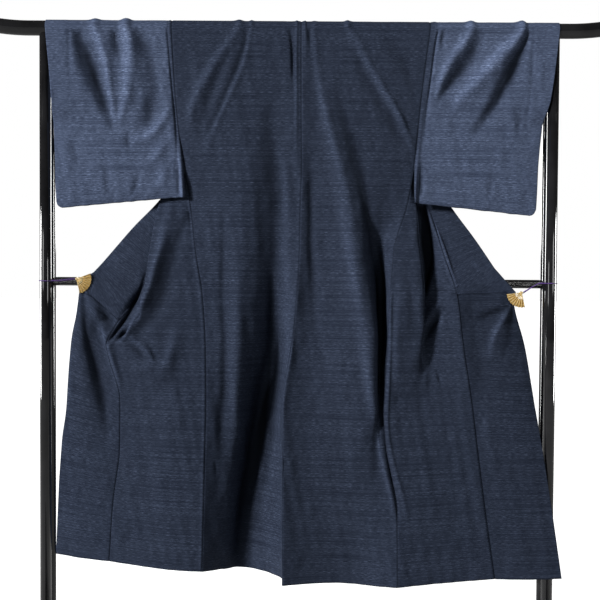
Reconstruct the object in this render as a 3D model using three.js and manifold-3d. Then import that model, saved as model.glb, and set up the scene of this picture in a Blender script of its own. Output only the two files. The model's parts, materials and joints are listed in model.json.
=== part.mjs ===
// An unlined tsumugi kimono hung back outward over the top rod of a tubular kimono rack, its two
// fronts drawn out sideways and held at the collar tips by small fan clips tied to the posts.
// Millimetres, +Z up, +X to the right of someone who looks at the kimono's back along +Y.
// The origin is on the floor, in the middle of the rack.

import * as THREE from 'three';
import Module from 'manifold-3d';
import { mergeVertices } from 'three/addons/utils/BufferGeometryUtils.js';

const wasm = await Module();
wasm.setup();

// ---- driving dimensions ----

const WALL = 1.6;
const SEAM_GAP = 0.3;
const COLLAR_DRAWN_IN = 0.8;
const ROD_RADIUS = 19.5;
const ROD_Z = 1681;
const CLOTH_BEND_RADIUS = ROD_RADIUS + 1.5;
const POST_X = 667;
const POST_RADIUS = 15;
const REAR_POST_Y = 52;
const REAR_POST_TOP = 1640;
const MID_BAR_Z = 1017;
const MID_BAR_RADIUS = 11.5;
const ROD_STRAIGHT_X = 707;
const ROD_END_X = 837;
const ROD_END_RISE = 14;
const FOOT_LENGTH = 440;
const FOOT_WIDTH = 36;
const FOOT_HEIGHT = 22;
const SPACER_RADIUS = 7;
const SPACER_HEIGHTS = [1350, 980, 160];
const CORD_DIAMETER = 2;
const UNDERARM_Z = 1325;
const WRIST_OPENING_END_Z = 1434;
const SLEEVE_CORNER_RADIUS = 15;
const NECK_HALF_WIDTH = 95;
const CENTRE_X = 5;
const LOWEST_HEM_Z = 215;
const SLEEVE_LAST_LEVEL_Z = 1250;
const SLEEVE_BOTTOM_Z = 1222;

// ---- heights at which the crease lines below are placed, from the rod down to the hem ----

const HEIGHTS = [1681, 1500, 1325, 1222, 1100, 990, 850, 700, 560, 400, 215];

// A row for each line that runs down the cloth: its distance across (x) and its depth (y) at each of
// the heights above, and how high its lower end hangs above the floor. Depth grows away from the back.
const LINES = {
  centre: {
    x: [5, 6, 8, 5, 3, -3, -16, -38, -39, -39, -37],
    y: [-21, -21, -21, -20, -20, -20, -20, -20, -20, -20, -20],
    hem: 215,
  },
  // left half of the back, from the centre seam to the side seam
  leftWall: {
    x: [-25, -24, -22, -22, -24, -28, -38, -50, -44, -42, -41],
    y: [-21, -20, -18, -14, -8, -2, 8, 22, 34, 42, 50],
    hem: 216,
  },
  leftValley: {
    x: [-80, -68, -66, -66, -66, -68, -76, -104, -120, -132, -136],
    y: [-21, -18, -10, 0, 14, 30, 52, 80, 98, 110, 120],
    hem: 224,
  },
  leftRidge: {
    x: [-165, -150, -142, -148, -150, -152, -155, -157, -172, -190, -200],
    y: [-21, -22, -22, -20, -14, -8, 2, 28, 48, 64, 82],
    hem: 230,
  },
  leftHollow: {
    x: [-245, -230, -218, -208, -202, -198, -198, -198, -210, -220, -230],
    y: [-21, -19, -15, -8, -2, 3, 9, 24, 34, 46, 56],
    hem: 233,
  },
  leftSide: {
    x: [-334, -324, -304, -286, -272, -254, -245, -243, -246, -250, -255],
    y: [-21, -10, -0.95, 12, 10, 8, 10, 14, 20, 27, 35],
    hem: 235,
  },
  // left front, from the side seam to the collar and overlap seam
  leftFold: {
    x: [-252, -250, -292, -370, -394, -410, -424, -330, -330, -336, -340],
    y: [21, 21, 14, 19, 17, 15, 12, 11, 17, 26, 34],
    hem: 240,
  },
  leftPocket: {
    x: [-130, -146, -176, -272, -332, -368, -470, -415, -412, -420, -425],
    y: [21, 34, 31, 31, 28, 26, 19, 25, 31, 40, 47],
    hem: 247,
  },
  leftInner: {
    x: [-90, -183, -272, -320, -382, -420, -508, -476, -478, -497, -510],
    y: [21, 50, 44, 38, 36, 33, 26, 34, 43, 53, 62],
    hem: 255,
  },
  leftEdge: {
    x: [-578, -578, -578, -578, -578, -584, -605, -619, -638, -652, -663],
    y: [28, 28, 28, 28, 28, 28, 32, 44, 58, 80, 100],
    hem: 265,
  },
  // right half of the back
  rightHollow: {
    x: [60, 45, 40, 37, 37, 37, 36, 30, 30, 40, 50],
    y: [-21, -18, -14, -13, -12, -8, -9, -7, -6, -2, 6],
    hem: 214,
  },
  rightRidge: {
    x: [110, 75, 96, 118, 135, 150, 164, 164, 150, 146, 130],
    y: [-21, -23, -25, -27, -29, -30, -30, -30, -27, -16, 8],
    hem: 214,
  },
  rightShoulder: {
    x: [180, 150, 160, 158, 168, 187, 203, 202, 190, 190, 190],
    y: [-21, -20, -19, -24, -26, -27, -27, -28, -24, -20, -4],
    hem: 213,
  },
  rightPocket: {
    x: [260, 235, 230, 222, 212, 217, 219, 215, 215, 228, 232],
    y: [-21, -17, -12, -5, 22, 28, 22, 0, -16, -22, -18],
    hem: 213,
  },
  rightSide: {
    x: [341, 320, 304, 286, 250, 243, 234, 227, 238, 265, 269],
    y: [-21, -10, -0.95, -2, -14, -18, -20, -22, -22, -24, -25],
    hem: 213,
  },
  // right front
  rightFold: {
    x: [262, 256, 290, 311, 323, 334, 328, 302, 315, 340, 345],
    y: [21, 21, 14, 6, -4, -8, -8, -6, -12, -13, -9],
    hem: 217,
  },
  rightPouch: {
    x: [140, 152, 190, 236, 286, 314, 322, 372, 395, 420, 430],
    y: [21, 34, 31, 34, 34, 30, 16, 6, 2, 2, 5],
    hem: 221,
  },
  rightInner: {
    x: [100, 196, 290, 347, 385, 421, 440, 464, 482, 504, 532],
    y: [21, 50, 44, 32, 18, 8, 10, 12, 12, 14, 20],
    hem: 225,
  },
  rightEdge: {
    x: [570, 570, 570, 570, 570, 570, 601, 627, 650, 674, 700],
    y: [6, 6, 6, 6, 6, 4, -4, -9, -17, -25, -30],
    hem: 242,
  },
};

// Row heights of the body's grid between the rod and the hem. One is the underarm, and one a side is
// where collar, front and overlap meet.
const ROW_HEIGHTS = [
  1681, 1640, 1600, 1550, 1500, 1450, 1400, 1325, 1285, 1250, 1222, 1180, 1140, 1100, 1045, 990, 950,
  914, 880, 850, 790, 700, 600, 500, 400, 300, 215,
];
const BODY_COLUMNS = 15;
const OVERLAP_COLUMNS = 5;
const SLEEVE_COLUMNS = 7;
const COLLAR_COLUMNS = 3;
// Rows over the rod, as angles above its far side, in degrees. The neckline lies in the last three.
const ARC_ANGLES = [150, 120, 90, 60, 30, 18, 8];
const NECKLINE_TOP = 30;

// Collar: free edge against the sewn edge, a row for each station below the neck point.
// at: height of the sewn edge, then the free edge's place.
const LEFT_COLLAR = [
  { at: 1681, x: -46, y: 33, z: 1655 },
  { at: 1600, x: -104, y: 80, z: 1588 },
  { at: 1500, x: -192, y: 104, z: 1508 },
  { at: 1400, x: -262, y: 84, z: 1428 },
  { at: 1325, x: -311, y: 62, z: 1362 },
  { at: 1222, x: -356, y: 42, z: 1258 },
  { at: 1100, x: -446, y: 36, z: 1157 },
  { at: 990, x: -524, y: 33, z: 1066 },
  { at: 914, x: -546, y: 31, z: 1042 },
];
const RIGHT_COLLAR = [
  { at: 1681, x: 56, y: 33, z: 1655 },
  { at: 1600, x: 114, y: 80, z: 1588 },
  { at: 1500, x: 205, y: 104, z: 1508 },
  { at: 1400, x: 278, y: 82, z: 1424 },
  { at: 1325, x: 330, y: 60, z: 1354 },
  { at: 1222, x: 400, y: 34, z: 1232 },
  { at: 1100, x: 472, y: 20, z: 1132 },
  { at: 990, x: 520, y: 10, z: 1060 },
];

const SIDES = {
  left: {
    sign: -1,
    back: ['centre', 'leftWall', 'leftValley', 'leftRidge', 'leftHollow', 'leftSide'],
    front: ['leftInner', 'leftPocket', 'leftFold', 'leftSide'],
    inner: 'leftInner',
    edge: 'leftEdge',
    side: 'leftSide',
    kensaki: 914,
    collar: LEFT_COLLAR,
    collarTip: { x: -552, y: 28.5, z: 980 },
    collarEnd: { x: -552, y: 30, z: 1036 },
    edgeTop: 988,
    wrist: { z: [1681, 1500, 1434, 1212], x: [-663, -648, -645, -637] },
    innerSlant: 8,
    sleeveBottom: { inner: 1243, outer: 1212 },
    clip: { x: -590, y: 26, z: 1024, from: -78, to: 22, slot: 9, tie: 1019 },
  },
  right: {
    sign: 1,
    back: ['centre', 'rightHollow', 'rightRidge', 'rightShoulder', 'rightPocket', 'rightSide'],
    front: ['rightInner', 'rightPouch', 'rightFold', 'rightSide'],
    inner: 'rightInner',
    edge: 'rightEdge',
    side: 'rightSide',
    kensaki: 990,
    collar: RIGHT_COLLAR,
    collarTip: { x: 549, y: 5, z: 997 },
    collarEnd: { x: 566, y: 6, z: 1008 },
    edgeTop: 988,
    wrist: { z: [1681, 1500, 1434, 1198], x: [678, 657, 639, 622] },
    innerSlant: -2,
    sleeveBottom: { inner: 1230, outer: 1198 },
    clip: { x: 590, y: 0.2, z: 995, from: 186, to: 284, slot: 9.8, tie: 1020 },
  },
};

// ---- curves through the tables ----

const vec = (x, y, z) => new THREE.Vector3(x, y, z);
const { lerp, clamp, degToRad } = THREE.MathUtils;

/** Value at `at` of a smooth curve through falling `stations` that never overshoots them. */
function between(stations, values, at) {
  const last = stations.length - 1;
  if (at >= stations[0]) return values[0];
  if (at <= stations[last]) return values[last];
  let i = 0;
  while (stations[i + 1] > at) i += 1;
  const step = (k) => (values[k + 1] - values[k]) / (stations[k + 1] - stations[k]);
  const slope = (k) => {
    if (k === 0 || k === last) return step(Math.min(k, last - 1));
    const before = step(k - 1);
    const after = step(k);
    return before * after <= 0 ? 0 : (2 * before * after) / (before + after);
  };
  const span = stations[i + 1] - stations[i];
  const t = (at - stations[i]) / span;
  const bend = t * (1 - t) * span * ((1 - t) * slope(i) - t * slope(i + 1));
  return lerp(values[i], values[i + 1], t * t * (3 - 2 * t)) + bend;
}

const STRETCHED_FROM_Z = 700;

/** Point of a named line at height z; low down the line is stretched to its own hem height. */
function linePoint(name, z) {
  const line = LINES[name];
  const share = (STRETCHED_FROM_Z - z) / (STRETCHED_FROM_Z - LOWEST_HEM_Z);
  const height = z > STRETCHED_FROM_Z ? z : lerp(STRETCHED_FROM_Z, line.hem, share);
  return vec(between(HEIGHTS, line.x, z), between(HEIGHTS, line.y, z), height);
}

/** A section through the named lines at height z, as `count` + 1 points, the same number a span. */
function section(names, z, count) {
  const points = names.map((name) => linePoint(name, z));
  const armholeOfFront = points[0].y > points[points.length - 1].y && z >= UNDERARM_Z;
  if (armholeOfFront) points[points.length - 1].y *= -1;
  const curve = new THREE.CatmullRomCurve3(points, false, 'centripetal');
  return Array.from({ length: count + 1 }, (_, i) => curve.getPoint(i / count));
}

/** A level row over the rod between two places across, at an angle above the rod's far side. */
function arcRow(innerX, outerX, degrees, count) {
  const y = CLOTH_BEND_RADIUS * Math.cos(degToRad(degrees));
  const z = ROD_Z + CLOTH_BEND_RADIUS * Math.sin(degToRad(degrees));
  return Array.from({ length: count + 1 }, (_, j) => vec(lerp(innerX, outerX, j / count), y, z));
}

// ---- walls of cloth ----

/** Unit normals of a grid of points; `ring` joins its last row to its first. */
function gridNormals(grid, ring = false) {
  const rows = grid.length;
  const row = (i) => (ring ? grid[(i + rows) % rows] : grid[clamp(i, 0, rows - 1)]);
  return grid.map((line, i) =>
    line.map((_, j) => {
      const across = line[Math.min(j + 1, line.length - 1)].clone().sub(line[Math.max(j - 1, 0)]);
      const along = row(i + 1)[j].clone().sub(row(i - 1)[j]);
      return across.cross(along).normalize();
    })
  );
}

/** A closed wall whose middle surface is the grid. */
function wall(grid, normals, ring = false) {
  const rows = grid.length;
  const columns = grid[0].length;
  const points = [1, -1].flatMap((face) =>
    grid.flatMap((line, i) =>
      line.map((point, j) => point.clone().addScaledVector(normals[i][j], (face * WALL) / 2))
    )
  );
  const id = (face, i, j) => face * rows * columns + (i % rows) * columns + j;
  const index = [];
  const quad = (a, b, c, d) => {
    const acrossFirst = points[a].distanceTo(points[c]) > points[b].distanceTo(points[d]) + 1e-6;
    if (acrossFirst) index.push(b, c, d, b, d, a);
    else index.push(a, b, c, a, c, d);
  };
  const end = columns - 1;
  for (let i = 0; i < (ring ? rows : rows - 1); i += 1) {
    for (let j = 0; j < end; j += 1) {
      quad(id(0, i, j), id(0, i, j + 1), id(0, i + 1, j + 1), id(0, i + 1, j));
      quad(id(1, i, j), id(1, i + 1, j), id(1, i + 1, j + 1), id(1, i, j + 1));
    }
    quad(id(0, i, 0), id(0, i + 1, 0), id(1, i + 1, 0), id(1, i, 0));
    quad(id(0, i, end), id(1, i, end), id(1, i + 1, end), id(0, i + 1, end));
  }
  for (let j = 0; j < end && !ring; j += 1) {
    const low = rows - 1;
    quad(id(0, 0, j), id(1, 0, j), id(1, 0, j + 1), id(0, 0, j + 1));
    quad(id(0, low, j), id(0, low, j + 1), id(1, low, j + 1), id(1, low, j));
  }
  const geometry = new THREE.BufferGeometry().setFromPoints(points);
  geometry.setIndex(index);
  return geometry;
}

/** Draws a grid's end column in along the cloth, by half a seam's gap unless told otherwise. */
function insetColumn(grid, column, distance = SEAM_GAP / 2) {
  const next = column === 0 ? 1 : column - 1;
  for (const line of grid) {
    const inward = line[next].clone().sub(line[column]).normalize();
    line[column].addScaledVector(inward, distance);
  }
}

/** The same for its first row. */
function insetFirstRow(grid) {
  grid[0].forEach((point, j) => {
    if (j > 0) point.addScaledVector(grid[1][j].clone().sub(point).normalize(), SEAM_GAP / 2);
  });
}

/** Gives both edges of a seam one direction of thickness; `sign` is -1 where their faces are opposite. */
function mitre(first, second, sign) {
  first.forEach((normal, i) => {
    const mean = normal.clone().addScaledVector(second[i], sign).normalize();
    normal.copy(mean);
    second[i].copy(mean).multiplyScalar(sign);
  });
}

// ---- body panels: one length of cloth each, from the back hem over the rod to the front hem ----

/** Across place of the centre seam, or of the neckline where it has opened, at an angle on the rod. */
function neckEdge(side, degrees) {
  const open = clamp((NECKLINE_TOP - degrees) / NECKLINE_TOP, 0, 1);
  return CENTRE_X + side.sign * NECK_HALF_WIDTH * open ** 2;
}

function bodyGrid(side) {
  const back = ROW_HEIGHTS.map((z) => section(side.back, z, BODY_COLUMNS)).reverse();
  const front = ROW_HEIGHTS.map((z) => section(side.front, z, BODY_COLUMNS));
  const shoulderX = LINES[side.side].x[0];
  const arc = ARC_ANGLES.map((angle) => arcRow(neckEdge(side, angle), shoulderX, angle, BODY_COLUMNS));
  return [...back, ...arc, ...front];
}

const FIRST_ARC_ROW = ROW_HEIGHTS.length;
const FIRST_FRONT_ROW = FIRST_ARC_ROW + ARC_ANGLES.length;

// ---- overlap panels, from the slanted top edge under the collar down to the hem ----

const OVERLAP_FOLD = 9;
const OVERLAP_SWELL = 7;

function overlapGrid(side) {
  const seamHeights = ROW_HEIGHTS.filter((z) => z <= side.kensaki);
  const tip = vec(side.collarTip.x, side.collarTip.y, side.collarTip.z);
  const tipShare = (OVERLAP_COLUMNS - 1) / OVERLAP_COLUMNS;
  return seamHeights.map((z) => {
    const down = (side.kensaki - z) / (side.kensaki - LOWEST_HEM_Z);
    const seam = linePoint(side.inner, z);
    const edge = linePoint(side.edge, lerp(side.edgeTop, LOWEST_HEM_Z, down));
    const pulled = Math.max(0, 1 - down * 1.6);
    return Array.from({ length: OVERLAP_COLUMNS + 1 }, (_, j) => {
      const u = j / OVERLAP_COLUMNS;
      if (down === 0 && j < OVERLAP_COLUMNS) return seam.clone().lerp(tip, u / tipShare);
      const point = seam.clone().lerp(edge, u);
      const fold = OVERLAP_FOLD * pulled * Math.sin(2 * Math.PI * u);
      const swell = OVERLAP_SWELL * (1 - pulled) * Math.sin(Math.PI * u);
      if (down > 0) point.y += fold - swell;
      return point;
    });
  });
}

// ---- sleeves: a bag round the rod, shut below the armhole and below the wrist opening ----

const PINCH = (WALL + SEAM_GAP) / 2;
const SLEEVE_ROWS = ROW_HEIGHTS.filter((z) => z >= SLEEVE_LAST_LEVEL_Z);
const SLEEVE_BELLY = { z: [1681, 1560, 1440, 1325, 1222], depth: [21, 15, 10, 7.5, 5] };
const WRIST_GAPE = { z: [ROD_Z, 1480, WRIST_OPENING_END_Z], depth: [21, 17, PINCH] };

/** Place of the sleeve's inner edge: the armhole down to the underarm, then slanting to the body. */
function sleeveInnerX(side, z) {
  const share = clamp((UNDERARM_Z - z) / (UNDERARM_Z - side.sleeveBottom.inner), 0, 1);
  const held = between(HEIGHTS, LINES[side.side].x, Math.max(z, UNDERARM_Z));
  return held - side.sign * side.innerSlant * share;
}

/** Half the distance between the sleeve's layers, u being 0 at the armhole and 1 at the wrist. */
function sleeveDepth(side, u, z) {
  const arm = Math.max(PINCH, -between(HEIGHTS, LINES[side.side].y, Math.max(z, UNDERARM_Z)));
  const edge = lerp(arm, between(WRIST_GAPE.z, WRIST_GAPE.depth, z), u);
  const belly = Math.max(edge, between(SLEEVE_BELLY.z, SLEEVE_BELLY.depth, z));
  return lerp(edge, belly, Math.sin(Math.PI * u) ** 0.7);
}

function sleeveRow(side, z, face, height, rounded = 0) {
  return Array.from({ length: SLEEVE_COLUMNS + 1 }, (_, j) => {
    const u = j / SLEEVE_COLUMNS;
    const wrist = between(side.wrist.z, side.wrist.x, z) - side.sign * rounded;
    const x = lerp(sleeveInnerX(side, z), wrist, u);
    return vec(x, face * sleeveDepth(side, u, z), height(u));
  });
}

function sleeveGrid(side) {
  const bottom = (u) => lerp(side.sleeveBottom.inner, side.sleeveBottom.outer, u);
  const slanted = (z) => (u) => {
    const share = clamp((UNDERARM_Z - z) / (UNDERARM_Z - SLEEVE_LAST_LEVEL_Z), 0, 1);
    return lerp(z, bottom(u) + SLEEVE_CORNER_RADIUS, share);
  };
  const layer = (face) => SLEEVE_ROWS.map((z) => sleeveRow(side, z, face, slanted(z)));
  const arc = ARC_ANGLES.map((angle) =>
    arcRow(LINES[side.side].x[0], side.wrist.x[0], angle, SLEEVE_COLUMNS)
  );
  const corner = SLEEVE_CORNER_RADIUS * 0.3;
  const nearBottom = (u) => bottom(u) + corner;
  const turned = (face) => sleeveRow(side, SLEEVE_BOTTOM_Z, face * 0.7, nearBottom, corner);
  const lip = sleeveRow(side, SLEEVE_BOTTOM_Z, 0, bottom, SLEEVE_CORNER_RADIUS);
  return [...layer(-1).reverse(), ...arc, ...layer(1), turned(1), lip, turned(-1)];
}

// ---- collar: one band round the back of the neck and down both fronts to the clips ----

const COLLAR_CENTRE = { y: 42, z: 1632 };

/** The collar from the neck point down to its tip, as pairs of a sewn and a free point. */
function collarHalf(side, body, overlap) {
  const heights = side.collar.map((row) => row.at);
  const free = (z) =>
    vec(...['x', 'y', 'z'].map((axis) => between(heights, side.collar.map((row) => row[axis]), z)));
  const sewn = (i) => body[FIRST_FRONT_ROW + i][0].clone();
  const down = ROW_HEIGHTS.filter((z) => z >= side.kensaki);
  const stations = down.map((z, i) => ({ sewn: sewn(i), free: free(z) }));
  const start = free(side.kensaki);
  const end = vec(side.collarEnd.x, side.collarEnd.y, side.collarEnd.z);
  for (let j = 1; j < OVERLAP_COLUMNS; j += 1) {
    const share = j / (OVERLAP_COLUMNS - 1);
    stations.push({ sewn: overlap[0][j].clone(), free: start.clone().lerp(end, share) });
  }
  return stations;
}

/** The stretch over the rod, from the neck point up to the centre. */
function collarNeck(side, half) {
  const low = ARC_ANGLES.filter((angle) => angle < NECKLINE_TOP).reverse();
  return low.map((angle) => {
    const share = angle / NECKLINE_TOP;
    const centre = vec(CENTRE_X, COLLAR_CENTRE.y, COLLAR_CENTRE.z);
    return {
      sewn: arcRow(neckEdge(side, angle), 0, angle, 1)[0],
      free: half[0].free.clone().lerp(centre, share ** 0.8),
    };
  });
}

function collarGrid() {
  const halves = Object.entries(SIDES).map(([name, side]) => {
    const half = collarHalf(side, bodies[name], overlaps[name]);
    return { down: half, neck: collarNeck(side, half) };
  });
  const middle = {
    sewn: arcRow(CENTRE_X, CENTRE_X, NECKLINE_TOP, 1)[0],
    free: vec(CENTRE_X, COLLAR_CENTRE.y, COLLAR_CENTRE.z),
  };
  const [left, right] = halves;
  const stations = [
    ...left.down.toReversed(),
    ...left.neck,
    middle,
    ...right.neck.toReversed(),
    ...right.down,
  ];
  return stations.map(({ sewn, free }) =>
    Array.from({ length: COLLAR_COLUMNS + 1 }, (_, j) => sewn.clone().lerp(free, j / COLLAR_COLUMNS))
  );
}

// ---- fan clips and their cords ----

const FAN = {
  ribs: 9,
  radius: 40,
  notch: 1.5,
  front: 1.2,
  leaf: 1.6,
  hubRadius: 4,
  jawLength: 22,
  jawWidth: 9,
};
const RIB = { from: 8, to: 38, width: 1.4, raised: 0.8 };

/** A three.js geometry as a solid that can be joined or cut. */
function solid(geometry) {
  const bare = geometry.clone();
  bare.deleteAttribute('normal');
  bare.deleteAttribute('uv');
  const merged = mergeVertices(bare, 1e-4);
  const vertProperties = new Float32Array(merged.attributes.position.array);
  const triVerts = new Uint32Array(merged.index.array);
  return new wasm.Manifold(new wasm.Mesh({ numProp: 3, vertProperties, triVerts }));
}

function geometryOf(body) {
  const mesh = body.getMesh();
  const geometry = new THREE.BufferGeometry();
  geometry.setAttribute('position', new THREE.BufferAttribute(mesh.vertProperties, 3));
  geometry.setIndex(new THREE.BufferAttribute(mesh.triVerts, 1));
  return geometry;
}

/** A flat outline in the fan's plane, given a thickness along +Y. */
function plate(outline, y, thickness) {
  const shape = new THREE.Shape(outline.map(([x, z]) => new THREE.Vector2(x, z)));
  const geometry = new THREE.ExtrudeGeometry(shape, { depth: thickness, bevelEnabled: false });
  return geometry.rotateX(Math.PI / 2).translate(0, y + thickness, 0);
}

/** A leaf with a rib on each fold, a hub through the pivot and a flat jaw behind the cloth. */
function fanClip({ from, to, slot }) {
  const step = (to - from) / (FAN.ribs - 1);
  const at = (degrees, radius) => {
    const angle = degToRad(degrees);
    return [radius * Math.cos(angle), radius * Math.sin(angle)];
  };
  const rim = Array.from({ length: 2 * FAN.ribs - 1 }, (_, i) =>
    at(from + (step * i) / 2, FAN.radius - (i % 2) * FAN.notch)
  );
  const hub = new THREE.CylinderGeometry(FAN.hubRadius, FAN.hubRadius, slot + 7, 12);
  let clip = solid(hub.translate(0, slot / 2, 0));
  clip = clip.add(solid(plate([[0, 0], ...rim], -FAN.front - FAN.leaf, FAN.leaf)));
  for (let i = 0; i < FAN.ribs; i += 1) {
    const length = RIB.to - RIB.from;
    const rib = new THREE.BoxGeometry(length, 2 * RIB.raised, RIB.width);
    rib.translate(RIB.from + length / 2, -FAN.front - FAN.leaf, 0);
    const inset = i === 0 ? 1.5 : i === FAN.ribs - 1 ? -1.5 : 0;
    clip = clip.add(solid(rib.rotateY(-degToRad(from + step * i + inset))));
  }
  const jaw = new THREE.BoxGeometry(FAN.jawLength, 1.6, FAN.jawWidth);
  jaw.translate(FAN.jawLength / 2, slot + 1.2, 0).rotateY(-degToRad((from + to) / 2));
  return geometryOf(clip.add(solid(jaw)));
}

/** The cord's route: from the clip round a post and back, in a loop that stays open at the clip. */
class PostLoop extends THREE.Curve {
  constructor(post, clip) {
    super();
    const reach = Math.hypot(clip.x - post.x, clip.y - post.y);
    const facing = Math.atan2(clip.y - post.y, clip.x - post.x);
    const wrap = POST_RADIUS + CORD_DIAMETER / 2 + 0.4;
    const half = Math.acos(wrap / reach);
    const straight = Math.sqrt(reach ** 2 - wrap ** 2) - FAN.hubRadius - CORD_DIAMETER;
    const round = wrap * (2 * Math.PI - 2 * half);
    Object.assign(this, { post, clip, wrap, half, facing, straight, round });
    this.total = 2 * straight + round;
  }

  getPoint(t) {
    const along = t * this.total;
    const turn = clamp((along - this.straight) / this.round, 0, 1);
    const angle = this.facing + this.half + turn * (2 * Math.PI - 2 * this.half);
    const x = this.post.x + this.wrap * Math.cos(angle);
    const y = this.post.y + this.wrap * Math.sin(angle);
    const left = Math.max(0, this.straight - along) - Math.max(0, along - this.straight - this.round);
    const z = lerp(this.clip.z, this.post.z, clamp(Math.sin(Math.PI * t) * 1.6, 0, 1));
    return vec(x + left * Math.sin(angle), y - left * Math.cos(angle), z + 3 * (0.5 - t));
  }
}

function tube(curve, radius, sides, steps) {
  const ring = new THREE.Shape();
  for (let i = 0; i < sides; i += 1) {
    const angle = (2 * Math.PI * i) / sides;
    const [x, y] = [radius * Math.cos(angle), radius * Math.sin(angle)];
    if (i === 0) ring.moveTo(x, y);
    else ring.lineTo(x, y);
  }
  return new THREE.ExtrudeGeometry(ring, { steps, bevelEnabled: false, extrudePath: curve });
}

// ---- rack ----

class RodLine extends THREE.Curve {
  getPoint(t) {
    const x = lerp(-ROD_END_X, ROD_END_X, t);
    const past = Math.max(0, Math.abs(x) - ROD_STRAIGHT_X) / (ROD_END_X - ROD_STRAIGHT_X);
    return vec(x, 0, ROD_Z + ROD_END_RISE * past ** 2);
  }
}

/** An upright tube between two heights. */
const upright = (radius, low, high) => {
  const geometry = new THREE.CylinderGeometry(radius, radius, high - low, 20);
  return geometry.rotateX(Math.PI / 2).translate(0, 0, (low + high) / 2);
};

/** A tube along X or Y between two places. */
const lying = (axis, radius, from, to) => {
  const geometry = new THREE.CylinderGeometry(radius, radius, to - from, 20);
  if (axis === 'x') return geometry.rotateZ(Math.PI / 2).translate((from + to) / 2, 0, 0);
  return geometry.translate(0, (from + to) / 2, 0);
};

/** A foot: a flat-bottomed tube with round ends and a rounded top. */
function foot() {
  const outline = new THREE.Shape();
  const half = FOOT_WIDTH / 2;
  const straight = FOOT_LENGTH / 2 - half;
  outline.absarc(0, straight, half, 0, Math.PI);
  outline.absarc(0, -straight, half, Math.PI, 2 * Math.PI);
  const soft = 3;
  const settings = { depth: FOOT_HEIGHT - soft, bevelThickness: soft, bevelSize: soft, bevelSegments: 3 };
  const bar = new THREE.ExtrudeGeometry(outline, { ...settings, bevelOffset: -soft, curveSegments: 8 });
  const below = new THREE.BoxGeometry(2 * FOOT_WIDTH, 2 * FOOT_LENGTH, 10).translate(0, 0, -5);
  return geometryOf(solid(bar).subtract(solid(below)));
}

// ---- the whole ----

const part = new THREE.Group();
const CLOTH = { color: 0x28344c, roughness: 0.9, metalness: 0 };
const BLACK_PAINT = { color: 0x0b0b0c, roughness: 0.15, metalness: 0.3 };
const GOLD = { color: 0xd9a73c, roughness: 0.3, metalness: 0.9 };
const ELASTIC = { color: 0x2b1f4a, roughness: 0.8, metalness: 0 };

function add(name, geometry, finish) {
  const mesh = new THREE.Mesh(geometry, new THREE.MeshStandardMaterial(finish));
  mesh.name = name;
  part.add(mesh);
  return mesh;
}

const bodies = {};
const overlaps = {};
const sleeves = {};
for (const [name, side] of Object.entries(SIDES)) {
  bodies[name] = bodyGrid(side);
  overlaps[name] = overlapGrid(side);
  sleeves[name] = sleeveGrid(side);
}
const collar = collarGrid();

const faces = { collar: gridNormals(collar) };
for (const name of Object.keys(SIDES)) {
  faces[name] = {
    body: gridNormals(bodies[name]),
    overlap: gridNormals(overlaps[name]),
    sleeve: gridNormals(sleeves[name], true),
  };
}

const edge = (normals, column, from, to) => normals.slice(from, to).map((line) => line[column]);
const neckTop = FIRST_ARC_ROW + ARC_ANGLES.indexOf(NECKLINE_TOP) + 1;
mitre(edge(faces.left.body, 0, 0, neckTop), edge(faces.right.body, 0, 0, neckTop), -1);

const sleeveBackRows = SLEEVE_ROWS.length;
const heldRows = ROW_HEIGHTS.filter((z) => z >= UNDERARM_Z).length;
const armholeRows = 2 * heldRows + ARC_ANGLES.length;
const seamStart = ROW_HEIGHTS.findIndex((z) => z < UNDERARM_Z);
const rowCount = bodies.left.length;
for (const [name, side] of Object.entries(SIDES)) {
  const { body, overlap, sleeve } = faces[name];
  const kensakiRow = ROW_HEIGHTS.indexOf(side.kensaki);
  // side seam, from the underarm to the hem
  const backSide = edge(body, BODY_COLUMNS, 0, ROW_HEIGHTS.length - seamStart).reverse();
  mitre(backSide, edge(body, BODY_COLUMNS, FIRST_FRONT_ROW + seamStart, rowCount), 1);
  // armhole, up the back, over the rod and down the front
  const firstHeld = FIRST_ARC_ROW - heldRows;
  const firstSleeve = sleeveBackRows - heldRows;
  mitre(
    edge(body, BODY_COLUMNS, firstHeld, firstHeld + armholeRows),
    edge(sleeve, 0, firstSleeve, firstSleeve + armholeRows),
    1
  );
  // front to overlap, then collar to front and to the overlap's top
  mitre(edge(body, 0, FIRST_FRONT_ROW + kensakiRow, rowCount), edge(overlap, 0, 0), -1);
  const sewnFront = edge(body, 0, neckTop, FIRST_FRONT_ROW + kensakiRow);
  const sewnTop = overlap[0].slice(1, OVERLAP_COLUMNS);
  const collarSeam = edge(faces.collar, 0, 0);
  const half = name === 'left' ? collarSeam.toReversed() : collarSeam;
  const topStart = half.length - sewnTop.length;
  const frontStart = topStart - 1 - sewnFront.length;
  const sign = name === 'left' ? 1 : -1;
  mitre(sewnFront, half.slice(frontStart, topStart - 1), sign);
  mitre(sewnTop, half.slice(topStart), -sign);
}

for (const name of Object.keys(SIDES)) {
  insetColumn(bodies[name], 0);
  insetColumn(bodies[name], BODY_COLUMNS);
  insetColumn(overlaps[name], 0);
  insetFirstRow(overlaps[name]);
  insetColumn(sleeves[name], 0);
}
insetColumn(collar, 0, COLLAR_DRAWN_IN);

for (const name of Object.keys(SIDES)) {
  add(`body_${name}`, wall(bodies[name], faces[name].body), CLOTH);
  add(`overlap_${name}`, wall(overlaps[name], faces[name].overlap), CLOTH);
  add(`sleeve_${name}`, wall(sleeves[name], faces[name].sleeve, true), CLOTH);
}
add('collar', wall(collar, faces.collar), CLOTH);

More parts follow.
